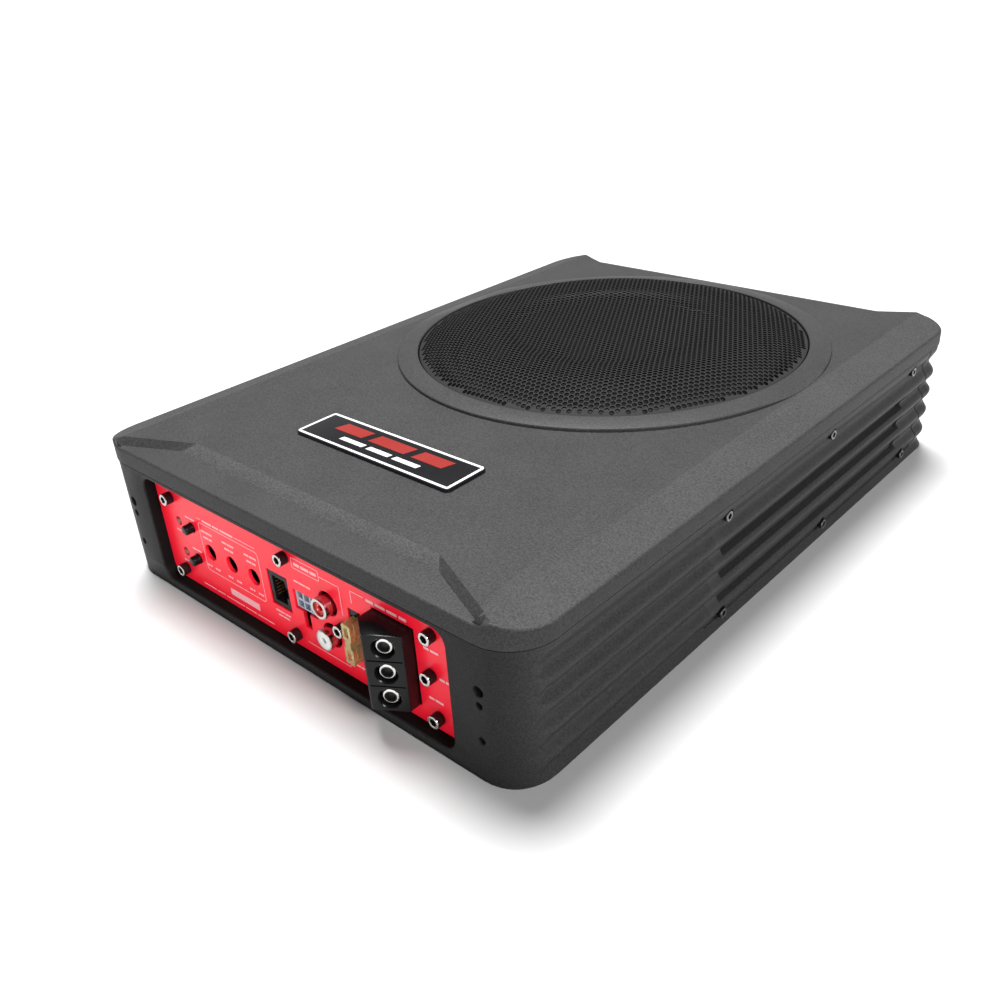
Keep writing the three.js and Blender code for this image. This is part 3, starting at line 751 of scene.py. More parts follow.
def ring_and_well(body):
    """The raised ring, the grille's well, the driver's seat and its bore."""
    inner, outer = (TOP + rise for rise in RING_RISE)
    profile = [(BOSS_R, CAVITY[2][1]), (BOSS_R, 58), (BORE_R, 58), (BORE_R, SEAT_Z),
               (WELL_R, SEAT_Z), (WELL_R, inner - 0.6), (WELL_R + 0.2, inner - 0.2),
               (WELL_R + 0.7, inner), (WELL_R + 2.2, inner - 0.05), (105, mix(inner, outer, 0.45)),
               (RING_R - 1.0, outer), (RING_R - 0.4, outer - 0.12 * (outer - TOP)),
               (RING_R - 0.08, mix(TOP, outer, 0.6)), (RING_R, TOP)]
    rows = []
    for x, y in circle(1, RING_COUNT):
        rows.append([(r * x, DRIVER.y + r * y, min(z, max(margin_plane(r * x), TOP)))
                     for r, z in profile])
    body.grid(rows + [rows[0]])


def front_recess(body):
    """The panel's recess, its ledge, and the window into the cavity."""
    rows = [[(u, face_y(-1, u, v) + deep, v) for u, v in mouth_loop(grow)]
            for grow, deep in ((MOUTH_EASE, 0), (0.35, 0.1), (0.1, 0.35), (0, 0.7))]
    body.grid(rows, close=True)
    edge = mouth_loop(0)
    # the recess walls are painted near black: painted shade
    body.grid([rows[-1], at_y(edge, LEDGE_Y)], close=True, paint=PAINT_RECESS_SHADE)
    window = rounded(*WINDOW, WINDOW_R)
    body.sheet([edge, window], lambda u, v: (u, LEDGE_Y, v))
    body.grid([at_y(window, LEDGE_Y), at_y(window, CAVITY[1][0])], close=True)
    return window


def cavity(body, window):
    """The hollow inside, open below; the bottom plate closes it."""
    x, y, z = CAVITY
    front = rectangle(*x, *z)
    body.sheet([front, window], lambda u, v: (u, y[0], v))
    walls = [(x[0], y[0]), (x[0], y[1]), (x[1], y[1]), (x[1], y[0])]
    body.grid([at_z(walls, z[0]), at_z(walls, z[1])])
    boss = circle(BOSS_R, RING_COUNT, (0, DRIVER.y))
    body.sheet([walls, boss], lambda u, v: (u, v, z[1]))
    flank = [(row[0][0], row[0][1]) for row in flank_rows(1)]
    front_edge = [(px, face_y(-1, px, 0)) for px in patch_x(-1)]
    rear_edge = [(px, face_y(1, px, 0)) for px in patch_x(1)][::-1]
    outline = front_edge[:-1] + flank + rear_edge[1:-1] + [(-a, b) for a, b in flank[::-1]]
    body.sheet([outline, walls], lambda u, v: (u, v, 0))


def build_housing():
    body = Shape()
    body.grid(flank_rows(1))
    body.grid(flank_rows(-1))
    end_patch(body, -1)
    end_patch(body, 1)
    top_sheet(body)
    ring_and_well(body)
    window = front_recess(body)
    cavity(body, window)
    show("housing_shell", body, [COAT, RECESS_SHADE, LIT_SLOPE_COAT, LIT_BAND_COAT], "coat", ["top_housing"],
         sharp=22)


build_housing()

# ---- side plates and side screws ----
SLOT_Y = (-46.5, 127.5)
SCREW_Y = (-46, 43.5, 132.5)
SCREW_Z = (53.8, 7.5)
SLOT_DEPTH = 5.6
SLOT_SHARE = (0.8, 0.1)          # where a slot lies in its flute
PLATE_GAP = 0.3                  # round each plate in its pocket
PLATE_EASE = 0.25
SCREW_SIDES = 48


def screw_ring(r, z, hexagon=False, knurl=0.0):
    """Points round a screw's axis: a circle, a knurled one, or a hexagon by its inner radius."""
    points = []
    for i in range(SCREW_SIDES):
        a = 2 * math.pi * i / SCREW_SIDES
        reach = r / math.cos(a % (math.pi / 3) - math.pi / 6) if hexagon else r - knurl * (i % 2)
        points.append((*polar(reach, a), z))
    return points


def cap_screw(head_r, head_h, shank_r, shank_l, flats, deep):
    """A socket cap screw along local Z, its head's face at 0: a bright face, its socket and sides
    painted dark as shade.
    """
    floor = screw_ring(flats / 2, -deep, True)
    mouth = screw_ring(flats / 2, -0.12, True)
    # the second material darkens the socket and the sides: painted shade
    shape = Shape().fan(floor[::-1], 1)
    shape.grid([floor, mouth], close=True, paint=1)
    shape.grid([mouth, screw_ring(flats / 2 + 0.35, 0), screw_ring(head_r - 0.35, 0),
                screw_ring(head_r - 0.1, -0.12), screw_ring(head_r, -0.35)], close=True)
    shape.grid([screw_ring(head_r, -0.35), screw_ring(head_r, -0.5, knurl=0.12),
                screw_ring(head_r, -head_h + 0.2, knurl=0.12), screw_ring(head_r - 0.1, -head_h),
                screw_ring(shank_r, -head_h)], close=True, paint=1)
    turns = max(2, int(shank_l / 0.5))
    thread = [screw_ring(shank_r - 0.22 * (k % 2), -head_h - shank_l * k / turns)
              for k in range(turns + 1)]
    return shape.grid(thread, close=True, paint=1).fan(thread[-1], 1)


SIDE_SCREW = cap_screw(2.3, 2.4, 1.5, 9, 2.3, 1.4)
PANEL_SCREW = cap_screw(2.75, 3.8, 1.5, 5, 3.0, 2.2)
DRIVER_SCREW = cap_screw(2.2, 1.9, 1.4, 4, 1.9, 1.2)


def plate_shape():
    """The +X fluted plate; its three blind slots are painted inside with a duller copy of the
    coat, as shade.
    """
    ys = sorted({PLATE_Y[0] + PLATE_GAP, PLATE_Y[1] - PLATE_GAP,
                 *[PLATE_Y[0] + 10 * i for i in range(1, 21)],
                 *[end + d for end in SLOT_Y for d in (-SEAM, SEAM)]})
    slots = [tuple(mix(top, low, share) for share in SLOT_SHARE) for top, low in FLUTES[1:4]]
    low_z, high_z = PLATE_Z[0] + PLATE_GAP, PLATE_Z[1] - PLATE_GAP
    zs = sorted({low_z, high_z, *[z for z in flute_heights() if low_z < z < high_z],
                 *[end + d for pair in slots for end in pair for d in (-SEAM, SEAM)]})

    def slotted(y, z):
        return SLOT_Y[0] < y < SLOT_Y[1] and any(a < z < b for a, b in slots)

    rows = []
    for y in ys:
        row = []
        for z in zs:
            depth = SLOT_DEPTH if slotted(y, z) else flute(z)
            edge = PLATE_EASE if y in (ys[0], ys[-1]) or z in (low_z, high_z) else 0.0
            row.append((LIP - LIP_STEP + side_base(z) - depth - edge, y, z))
        rows.append(row)
    shape = Shape().grid(rows)
    # the slots' faces take the slot coat: painted shade
    for number, face in enumerate(shape.faces):
        if any(slotted(shape.points[i].y, shape.points[i].z) for i in face):
            shape.paint[number] = 1
    back = LIP - POCKET + PLATE_GAP
    rim = [row[0] for row in rows] + rows[-1][1:]
    rim += [row[-1] for row in rows[::-1]][1:] + rows[0][::-1][1:-1]
    shape.grid([rim, [(back, y, z) for _, y, z in rim]], close=True)
    flat = [(y, z) for _, y, z in rim]
    return shape.sheet([flat], lambda u, v: (back, u, v))


def build_side_plates():
    cutters = []
    for y in SCREW_Y:
        for z in SCREW_Z:
            place = aim((LIP, y, z), (1, 0, 0))
            cutters += [rod(3.1, -3.1, 4, 32, place), rod(1.75, -9, 1, 16, place)]
    right = show("right_plate", plate_shape(), [COAT, SLOT_SHADE_COAT], "coat", ["right_side_plate"],
                 sharp=28, cutters=cutters)
    left = new_object("left_plate", right.data.copy())
    left.data.transform(Matrix.Scale(-1, 4, (1, 0, 0)))
    left.data.flip_normals()
    hang(left, ["left_side_plate"], SHELL)
    places = [(y, z) for z in SCREW_Z for y in SCREW_Y]
    for side, name in ((-1, "left"), (1, "right")):
        for number, (y, z) in enumerate(places, 1):
            screw = Shape().add(SIDE_SCREW, aim((side * (LIP - 0.6), y, z), (side, 0, 0)))
            show(f"{name}_cap_screw_{number}", screw, [CHROME, OXIDE_AND_SOCKET_SHADE], "nickel",
                 [f"{name}_side_screw_{number}"])


build_side_plates()

# ---- grille ----
GRILLE_R = 98.8
GRILLE_Z = 80.98                 # no point of the dome is higher
DOME = [(0, 78.7), (45, 78.7), (48.5, 79.0), (53, 80.2), (57, 80.8), (63, 81.0), (73, 81.0),
        (79, 80.2), (86, 78.2), (92, 75.9), (95, 74.5), (98.8, 72.8)]
PITCH = 2.7
ROW_PITCH = PITCH * math.sqrt(3) / 2
HOLE_R = 1.21
CELLS_R = 96.8                   # the farthest cell's centre
RIM_INSET = 0.35                 # the plain border's rounded edge
SHEET = 0.7


def smooth_dome():
    """The dome sampled finely and rounded by averaging."""
    radii = np.arange(0, 100, 0.5)
    heights = np.interp(radii, *zip(*DOME))
    for _ in range(4):
        heights[1:-3] = (heights[:-4] + 2 * heights[1:-3] + heights[2:-2]) / 4
    return radii, np.minimum(heights, GRILLE_Z)


DOME_R, DOME_Z = smooth_dome()


def on_dome(loop, sink=0):
    """A flat loop laid on the dome, or a little under it."""
    return [(x, y, float(np.interp(math.hypot(x, y), DOME_R, DOME_Z)) - sink) for x, y in loop]


def build_grille():
    sheet = Shape()
    border = {}
    rows = int(100 / ROW_PITCH) + 2
    across = int(100 / PITCH) + 2
    centres = [(PITCH * (i + 0.5 * (j % 2)), ROW_PITCH * j)
               for j in range(-rows, rows + 1) for i in range(-across, across + 1)]
    for centre in centres:
        if math.hypot(*centre) > CELLS_R:
            continue
        outer = []
        hole = []
        for k in range(12):
            a = math.pi / 6 + math.pi * k / 6
            r = PITCH / math.sqrt(3) * (1 if k % 2 == 0 else math.cos(math.pi / 6))
            outer.append(tuple(round(p, 3) for p in polar(r, a, centre)))
            hole.append(polar(HOLE_R, a, centre))
        sheet.grid([on_dome(outer), on_dome(hole)], close=True)
        # the holes' walls and the sheet's underside are painted near black: painted shade
        sheet.grid([on_dome(hole), on_dome(hole, SHEET), on_dome(outer, SHEET)], close=True,
                   paint=1)
        for a, b in zip(outer, outer[1:] + outer[:1]):
            if border.pop((b, a), None) is None:
                border[(a, b)] = True
    following = dict(border.keys())
    start = next(iter(following))
    loop = [start]
    while following[loop[-1]] != start:
        loop.append(following[loop[-1]])
    rim_r = GRILLE_R - RIM_INSET
    for sink in (0, SHEET):
        sheet.sheet([loop, circle(rim_r, 180)], lambda u, v: on_dome([(u, v)], sink)[0],
                    lambda u, v: math.hypot(u, v) < GRILLE_R - 0.3 and not inside(loop, u, v))
    rim_z = on_dome([(rim_r, 0)])[0][2]
    edge = [(rim_r, rim_z), (GRILLE_R - 0.08, 72.75), (GRILLE_R, 72.4), (GRILLE_R, 70.5),
            (GRILLE_R - 1.0, 70.5), (GRILLE_R - 1.0, 71.6), (rim_r, rim_z - SHEET)]
    sheet.add(lathe(edge, 180, ends=False))
    show("grille_mesh", Shape().add(sheet, Matrix.Translation(DRIVER)), [MESH_COAT, RECESS_SHADE],
         "coat", ["grille"], sharp=50)


build_grille()

# ---- badge ----
BADGE_X = 47.0
BADGE_Y = (-120.0, -96.8)
BADGE_TOP = 72.56                # the height of its bars


def frame_strip(x, y, r, width, low, high, lift=at_z):
    """A rounded frame, raised from low to high; lift stands its flat loops up."""
    outer = rounded(*x, *y, r)
    inner = rounded(x[0] + width, x[1] - width, y[0] + width, y[1] - width, r - width)
    rows = [lift(outer, low), lift(outer, high), lift(inner, high), lift(inner, low)]
    return Shape().grid(rows, close=True)


def build_badge():
    rows = []
    for inset, z in ((0.3, 71.05), (0, 71.2), (0, 72.2), (0.15, 72.37), (0.4, 72.42)):
        rows.append(at_z(rounded(inset - BADGE_X, BADGE_X - inset, inset + BADGE_Y[0],
                                 BADGE_Y[1] - inset, 2.4 - inset), z))
    plate = Shape().grid(rows, close=True).fan(rows[-1]).fan(rows[0][::-1])
    show("badge_face", plate, [BADGE], "badge", ["badge_plate"])
    border = frame_strip((-46.4, 46.4), (-119.4, -97.4), 1.6, 1.25, 72.3, 72.58)
    show("badge_border", border, [SILVER], "badge")
    for name, spans, (low, high), slant, paint in (
            ("badge_bars", ((-34, -14.5), (-12, 12), (14.5, 34)), (-108.4, -101.6), 2, BADGE_RED),
            ("badge_lines", ((-24, -9), (-7, 7), (9, 24)), (-114.2, -111.6), 0.7, SILVER)):
        bars = Shape()
        for x0, x1 in spans:
            bars.add(prism([(x0, low), (x1 - slant, low), (x1, high), (x0 + slant, high)],
                           72.35, BADGE_TOP))
        show(name, bars, [paint], "badge")


build_badge()

# ---- control panel ----
PANEL_SCREWS = [(x, z) for z in (48.4, 11.2) for x in (-82.5, 0, 82.5)]
PANEL_SCREWS += [(80.5, 29.8), (32.6, 28.6)]
PANEL_BACK = PANEL_Y + 1.6
PANEL = (-94.2, 94.2, 4.8, 57.0)
PANEL_R = 5.7
HOLE_LIP = 0.15                  # the eased edge of the panel's holes and outline
HEAD_Y = PANEL_Y - 4             # the faces of the screw heads and the buttons
POT_X = (-58, -42, -26)
POT_Z = 28.3
POT_Y = -163.2
BUTTON_X = -69.8
LED_X = -80
SWITCH_Z = (37, 20.8)
RCA_X = 24
RCA_Z = (36.1, 21.1)
JACK = (-15.2, -1.8, 20.3, 37.2)
PLUG = (1.5, 16, 25, 34)
LATCH = (6.3, 10.6, 17.4)        # the notch under the plug: x0, x1, and how low it reaches
FUSE_SLOT = (36.4, 43.5, 16.5, 39.8)
TERMINAL = (50.9, 73.1, 11.7, 46.3)


def latch_outline(grow):
    low, right, high, left = rectangle(*PLUG, grow)
    x0, x1, z = LATCH[0] - grow, LATCH[1] + grow, LATCH[2] - grow
    return [low, (x0, low[1]), (x0, z), (x1, z), (x1, low[1]), right, high, left]


def build_panel():
    def outline(grow):
        x0, x1, z0, z1 = PANEL
        return rounded(x0 + grow, x1 - grow, z0 + grow, z1 - grow, PANEL_R - grow, 8)

    def opening(b):
        return lambda grow: rectangle(*b, grow)

    def drilled(x, z, r):
        return lambda grow: circle(r + grow, 40, (x, z))

    makers = [opening(JACK), latch_outline, opening(FUSE_SLOT), opening(TERMINAL)]
    makers += [drilled(x, POT_Z, 3.9) for x in POT_X]
    makers += [drilled(x, z, r) for x, r in ((BUTTON_X, 2.6), (LED_X, 2.1)) for z in SWITCH_Z]
    makers += [drilled(RCA_X, z, 5.5) for z in RCA_Z]
    makers += [drilled(x, z, 1.8) for x, z in PANEL_SCREWS]
    panel = Shape()
    for y, grow in ((PANEL_Y, HOLE_LIP), (PANEL_BACK, 0)):
        loops = [maker(grow) for maker in (outline, *makers)]
        panel.sheet(loops, lambda u, v: (u, y, v))
    for maker in (outline, *makers):
        rows = [at_y(maker(HOLE_LIP), PANEL_Y), at_y(maker(0), PANEL_Y + HOLE_LIP),
                at_y(maker(0), PANEL_BACK)]
        panel.grid(rows, close=True)
    show("panel_sheet", panel, [RED], "panel_red", ["control_panel"], sharp=30)


build_panel()


def build_print():
    """White printed frames and short bars: no lettering."""
    ink = Shape()
    near, far = PANEL_Y - 0.04, PANEL_Y + 0.02

    def bar(x0, x1, z0, z1):
        ink.add(box((x0, x1), (near, far), (z0, z1)))

    def ring(x, z, r):
        ink.add(frame_strip(x, z, r, 0.3, far, near, at_y))

    def dashes(x0, x1, z, high, lengths, gap=0.5):
        """A row of short bars between x0 and x1."""
        room = x1 - x0 - gap * (len(lengths) - 1)
        x = x0
        for length in lengths:
            wide = room * length / sum(lengths)
            bar(x, x + wide, z, z + 0.75 * high)
            x += wide + gap

    ring((-63.4, -19.8), (17.8, 42.5), 2.0)
    dashes(-59.5, -36.5, 43.6, 1.3, (3, 2, 4), 0.8)
    for x0, x1 in ((-63.4, -60.4), (-35.6, -21)):
        bar(x0, x1, 44.1, 44.4)
    for x in POT_X:
        dashes(x - 4.2, x + 4.2, 37.9, 1.2, (2, 3))
        dashes(x - 3.2, x + 3.2, 35.0, 1.2, (3, 2))
        dashes(x - 4.9, x - 1.4, 20.3, 1.1, (2, 1))
        dashes(x + 1.4, x + 4.9, 20.3, 1.1, (1, 2))
    for z in SWITCH_Z:
        dashes(-83.5, -77.0, z - 5.6, 1.0, (2, 1, 2), 0.4)
        dashes(-73.4, -66.2, z + 4.2, 1.0, (2, 2), 0.4)
    bar(-47.5, -26.5, 10.8, 14.2)
    dashes(-70, -17.5, 7.6, 0.7, (5, 3, 7, 4, 6), 1.2)
    ring((4, 21), (45, 50), 0.9)
    dashes(5.6, 19.4, 46.6, 1.8, (3, 4, 3), 0.7)
    for edges in ((21, 33, 47.3, 47.6), (32.7, 33, 34.5, 47.6), (32.7, 33, 9.6, 24.4),
                  (6, 33, 9.6, 9.9)):
        bar(*edges)
    dashes(-13.4, -3.6, 17.2, 1.0, (3, 2))
    dashes(-12.2, -4.8, 15.2, 1.0, (2, 3))
    dashes(3.5, 14, 38.4, 1.0, (2, 3, 2))
    bar(39.4, 39.7, 43, 48.8)
    bar(39.4, 47, 48.5, 48.8)
    dashes(48.5, 70, 47.7, 1.7, (3, 4, 4, 3), 1.0)
    for z in (41, 18.6):
        dashes(77.6, 85, z - 0.8, 1.3, (2, 3), 0.6)
    dashes(84.4, 90, 29.2, 1.3, (2, 2), 0.6)
    dashes(36.5, 43.5, 12.4, 1.0, (2, 3))
    show("panel_print", ink, [INK], "panel_red")


build_print()


def build_controls():
    for number, (x, z) in enumerate(PANEL_SCREWS, 1):
        screw = Shape().add(PANEL_SCREW, facing_front(x, HEAD_Y, z))
        show(f"panel_cap_screw_{number}", screw, [NICKEL, OXIDE_AND_SOCKET_SHADE], "nickel",
             [f"panel_screw_{number}"])
    button = [(0, 0), (1.2, 0), (1.8, -0.12), (2.15, -0.4), (2.3, -0.9), (2.3, -6.3),
              (3.3, -6.3), (3.3, -7.4), (0, -7.4)]
    lens = [(0, -0.02), (0.6, -0.06), (1.1, -0.25), (1.5, -0.6), (1.8, -1.2), (1.8, -4),
            (2.3, -4), (2.3, -6), (0, -6)]
    for number, z in enumerate(SWITCH_Z, 1):
        show(f"button_cap_{number}", lathe(button, 48, facing_front(BUTTON_X, HEAD_Y, z)),
             [GLOSS], "black_plastic", [f"push_button_{number}"], body=f"button_{number}")
        show(f"led_lens_{number}", lathe(lens, 32, facing_front(LED_X, PANEL_Y - 0.6, z)),
             [LENS], "lens", [f"status_led_{number}"])
    rotor = [(0, 0), (2.6, 0), (2.9, -0.15), (3, -0.4), (3, -10.2), (0, -10.2)]
    for number, x in enumerate(POT_X, 1):
        groove = box((x - 0.45, x + 0.45), (-165, -161.8), (POT_Z - 4, POT_Z + 4))
        mark = box((x - 0.2, x + 0.2), (-165, -162.9), (POT_Z + 1, POT_Z + 2.2))
        show(f"pot_rotor_{number}", lathe(rotor, 48, facing_front(x, POT_Y, POT_Z)), [WHITE],
             "white_plastic", [f"level_pot_rotor_{number}"], body=f"pot_{number}",
             cutters=[groove, mark])


build_controls()

# ---- sockets ----
def block(b, gap, y):
    """A block filling an opening of the panel but for a gap all round."""
    return box((b[0] + gap, b[1] - gap), y, (b[2] + gap, b[3] - gap))


def build_jack():
    mouth = box((-12.6, -4.4), (-170, -153.5), (22.8, 34.6))
    latch = box((-5, -3), (-170, -157), (26.2, 31.2))
    show("jack_housing", block(JACK, 0.3, (PANEL_Y + 0.4, -150)), [GLOSS], "black_plastic",
         ["remote_jack"], bevel=0.15, cutters=[mouth, latch])
    contacts = Shape()
    for k in range(6):
        z = 24.6 + 1.6 * k
        contacts.add(box((-12.4, -11.9), (-165, -154), (z, z + 0.5)))
    show("jack_contacts", contacts, [COPPER], "copper")


def build_speaker_socket():
    cells = []
    pins = Shape()
    for cx in [(PLUG[0] + PLUG[1]) / 2 + 4.2 * column for column in (-1, 0, 1)]:
        for cz in [(PLUG[2] + PLUG[3]) / 2 + 4.0 * row for row in (-0.5, 0.5)]:
            cells.append(box((cx - 1.6, cx + 1.6), (-170, -157), (cz - 1.5, cz + 1.5)))
            pins.add(box((cx - 0.45, cx + 0.45), (-163.5, -156.8), (cz - 0.45, cz + 0.45)))
    show("speaker_socket", block(PLUG, 0.3, (PANEL_Y + 1, -152)), [GREY], "grey_plastic",
         ["high_level_socket"], cutters=cells)
    show("speaker_pins", pins, [NICKEL], "nickel")


def build_rca():
    cutters = [rod(4.9, 0, 15, 40, facing_front(RCA_X, -155, z)) for z in RCA_Z]
    x, z = PANEL_SCREWS[-1]
    cutters.append(rod(1.8, 0, 12, 16, facing_front(x, -158, z)))
    show("rca_body", box((18, 36), (PANEL_Y + 1.9, -151), (13.5, 43.5)), [GLOSS],
         "black_plastic", ["rca_block"], cutters=cutters)
    for z, colour, inner, wall, sunk in ((RCA_Z[0], "red", RCA_RED, 3.3, -0.9),
                                         (RCA_Z[1], "white", WHITE, 4.0, 0.05)):
        place = facing_front(RCA_X, PANEL_Y - 4.6, z)
        shell = lathe([(wall, 0), (4.35, 0), (4.55, -0.15), (4.6, -0.45), (4.6, -2.2),
                       (4.2, -2.4), (4.2, -15.6), (wall, -15.6)], 56, place)
        core = lathe([(1.3, sunk - 0.3), (1.6, sunk), (wall - 0.35, sunk),
                      (wall - 0.05, sunk - 0.2), (wall - 0.05, -15.6), (1.3, -15.6)], 56, place)
        show(f"rca_jack_{colour}_turned", Shape().add(shell).add(core, paint=1),
             [NICKEL, inner], f"{colour}_plastic", [f"rca_jack_{colour}"])


build_jack()
build_speaker_socket()
build_rca()

# ---- fuse and holder ----
FUSE_X = (37.45, 42.45)
FUSE_Z = (17.4, 36.2)
FUSE_GAP = 0.25
BLADES = ((19, 24.2), (29.4, 34.6))      # the height of each blade
TEST_POINTS = ((19.4, 23.4), (30.2, 34.2))


def build_fuse():
    cutters = [block((*FUSE_X, *FUSE_Z), -FUSE_GAP, (-170, -159.7))]
    cutters += [box((39.3, 40.6), (-160, -152), (low - 0.3, high + 0.3)) for low, high in BLADES]
    show("fuse_socket", box((36.7, 43.2), (PANEL_Y + 0.6, -149.5), (16.8, 39.5)), [GLOSS],
         "black_plastic", ["fuse_holder"], cutters=cutters)
    windows = [box((x, x + 1.75), (-173, -163.5), (24.9, 28.7), 0.5)
               for x in (FUSE_X[0] - 1, FUSE_X[1] - 0.75)]
    windows += [box((38.9, 41.0), (-173, -170.6), span, 0.3) for span in TEST_POINTS]
    show("fuse_shell", box(FUSE_X, (PANEL_Y - 5, -160), FUSE_Z, 0.9), [AMBER], "amber",
         ["fuse"], body="fuse", cutters=windows, bevel=0.25)
    link = Shape()
    for span in BLADES:
        link.add(box((39.6, 40.3), (-168.5, -153), span))
    link.add(box((39.75, 40.15), (-166.5, -165), (24.2, 29.4)))
    show("fuse_blades", link, [NICKEL], "nickel", body="fuse")


build_fuse()

# ---- power terminal ----
RIDGE = Vector((60.4, -180.0, 0))
SLOPE_FOOT = Vector((73, -172.1, 0))
SLOPE = (SLOPE_FOOT - RIDGE).normalized()
OUT = Vector((SLOPE.y, -SLOPE.x, 0))
SLOPE_MIDDLE = (SLOPE_FOOT + RIDGE) / 2
TERMINAL_Z = (17.7, 29.0, 40.3)
DIVIDER_Z = (23.35, 34.65)


def slanted(depth, reach, z):
    """A block square to the slope: its depth below it, its reach along it, and its height."""
    corners = []
    for d, w in ((depth[0], reach[0]), (depth[0], reach[1]), (depth[1], reach[1]),
                 (depth[1], reach[0])):
        p = SLOPE_MIDDLE - d * OUT - w * SLOPE
        corners.append((p.x, p.y))
    return prism(corners, *z)


def in_terminal(depth, z):
    """The place of a screw, a depth below the slope."""
    p = SLOPE_MIDDLE - depth * OUT
    return aim((p.x, p.y, z), OUT)


def set_screw():
    """A round-topped screw with a hexagonal socket, the socket painted dark as shade."""
    outside = [screw_ring(r, z) for r, z in ((1.9, -6.6), (1.9, -2.5), (4.0, -2.5), (4.0, -2.0),
                                             (3.8, -1.3), (3.4, -0.75), (2.9, -0.42),
                                             (2.45, -0.35))]
    socket = [outside[-1], screw_ring(2.0, -0.4, True), screw_ring(2.0, -2.1, True)]
    # the socket takes the dark second material: painted shade
    screw = Shape().grid(outside, close=True).grid(socket, close=True, paint=1)
    return screw.fan(outside[0][::-1]).fan(socket[-1], paint=1)


def build_terminal():
    plan = [(51.2, -150), (51.2, -173.6), (RIDGE.x, RIDGE.y), (SLOPE_FOOT.x, SLOPE_FOOT.y),
            (72.8, -171.3), (72.8, -150)]
    well = [(0, -6.2), (4.2, -6.2), (4.2, -0.4), (4.6, 0.1), (4.6, 3), (0, 3)]
    cutters = []
    for z in TERMINAL_Z:
        cutters.append(lathe(well, 48, in_terminal(0, z)))
        cutters.append(rod(2.3, -8, -5, 32, in_terminal(0, z)))
        cutters.append(slanted((7.4, 13.4), (-3.6, 20), (z - 3.2, z + 3.2)))
    for z in DIVIDER_Z:
        cutters.append(slanted((-1, 0.9), (-6.6, 6.6), (z - 0.3, z + 0.3)))
    show("terminal_body", prism(plan, 12, 46), [GLOSS], "black_plastic", ["terminal_block"],
         bevel=0.45, cutters=cutters, bevel_first=True)
    for number, z in enumerate(TERMINAL_Z, 1):
        show(f"terminal_socket_screw_{number}", Shape().add(set_screw(), in_terminal(0.8, z)),
             [MIRROR, OXIDE_AND_SOCKET_SHADE], "nickel", [f"terminal_screw_{number}"], body=f"screw_{number}")
        show(f"terminal_wire_clamp_{number}",
             slanted((7.7, 9.2), (-2.9, 2.9), (z - 2.8, z + 2.8)), [NICKEL], "nickel",
             [f"terminal_clamp_{number}"], body=f"clamp_{number}", bevel=0.2)


build_terminal()

# ---- driver: (radius, height) profiles about its axis ----
AT_DRIVER = Matrix.Translation(DRIVER)
SECTORS = 12                     # the surround and the spider are cut into this many pieces
ROLL_STEPS = 8                   # faces across each piece
ROLL_R = 85                      # the middle of the surround's half roll
ROLL_Z = 65.8
SPIDER_R = (26.6, 56.0)
SPIDER_Z = 40


def show_turned(name, profile, count, material, slot, node, **more):
    return show(name, lathe(profile, count, AT_DRIVER), [material], slot, [node], **more)


def build_moving_cone():
    cone = [(26.6, 44.2), (34, 47.0), (45, 51.1), (58, 56.4), (70, 61.5), (76, 64.2),
            (79.4, 64.25), (79.4, 64.95), (75.6, 64.95), (69.6, 62.4), (57.6, 57.4),
            (44.6, 52.2), (33.6, 48.1), (26.6, 45.4)]
    cap = [(0, 55.4), (6, 55.28), (12, 54.9), (18, 54.1), (24, 52.9), (29, 51.2), (33, 49.3),
           (34.4, 48.8), (33.4, 48.4), (28.6, 50.3), (23.6, 51.9), (18, 53.1), (12, 53.9),
           (6, 54.28), (0, 54.4)]
    coil = [(25.1, 20), (26.1, 20)]
    coil += [(26.2 if k % 2 else 26.02, 20.3 + 0.4 * k) for k in range(30)]
    coil += [(26.1, 32.6), (26.1, 45), (25.1, 45)]
    show_turned("cone_paper", cone, 96, PAPER, "paper", "cone", body="moving_cone")
    show_turned("dust_dome", cap, 72, PAPER, "paper", "dust_cap", body="moving_cone")
    show_turned("coil_winding", coil, 64, COPPER, "copper", "voice_coil", body="moving_cone")


def roll(sector, profile):
    """One sector of a turned ring, closed all round."""
    start = 2 * math.pi * (sector - 0.5) / SECTORS
    rows = []
    for i in range(ROLL_STEPS + 1):
        a = start + 2 * math.pi / SECTORS * i / ROLL_STEPS
        rows.append([(*polar(r, a, DRIVER), z) for r, z in profile])
    shape = Shape().grid([row + row[:1] for row in rows])
    return shape.fan(rows[0][::-1]).fan(rows[-1])


def surround_profile():
    def arc(wide, high):
        turns = [math.pi * i / 12 for i in range(1, 12)]
        return [(ROLL_R + wide * math.cos(a), ROLL_Z + high * math.sin(a)) for a in turns]

    return [(98.5, 65.3), (98.5, 66.3), (90.9, 66.3), *arc(5.9, 5.5), (79.1, 66.3),
            (75.6, 66.3), (75.6, 65.3), (80.6, 65.3), *arc(4.9, 4.6)[::-1], (89.4, 65.3)]


def spider_profile():
    """Four waves of treated cloth, fading at both ends."""
    middle = []
    for i in range(25):
        share = min(1, i / 3, (24 - i) / 3)
        middle.append((SPIDER_R[0] + (SPIDER_R[1] - SPIDER_R[0]) * i / 24,
                       SPIDER_Z + 0.85 * share * math.sin(i * math.pi / 3)))
    return [(r, z + 0.3) for r, z in middle] + [(r, z - 0.3) for r, z in middle[::-1]]


def build_suspension():
    """The surround and spider, each cut into sectors that ride on no body."""
    for name, profile, material, slot, node, outer, inner in (
            ("surround_roll", surround_profile(), RUBBER, "rubber", "surround", 90.9, 79.1),
            ("spider_cloth", spider_profile(), CLOTH, "cloth", "spider", 54, 29)):
        for k in range(SECTORS):
            piece = show(f"{name}_{k + 1}", roll(k, profile), [material], slot, [node], body=None)
            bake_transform(piece)


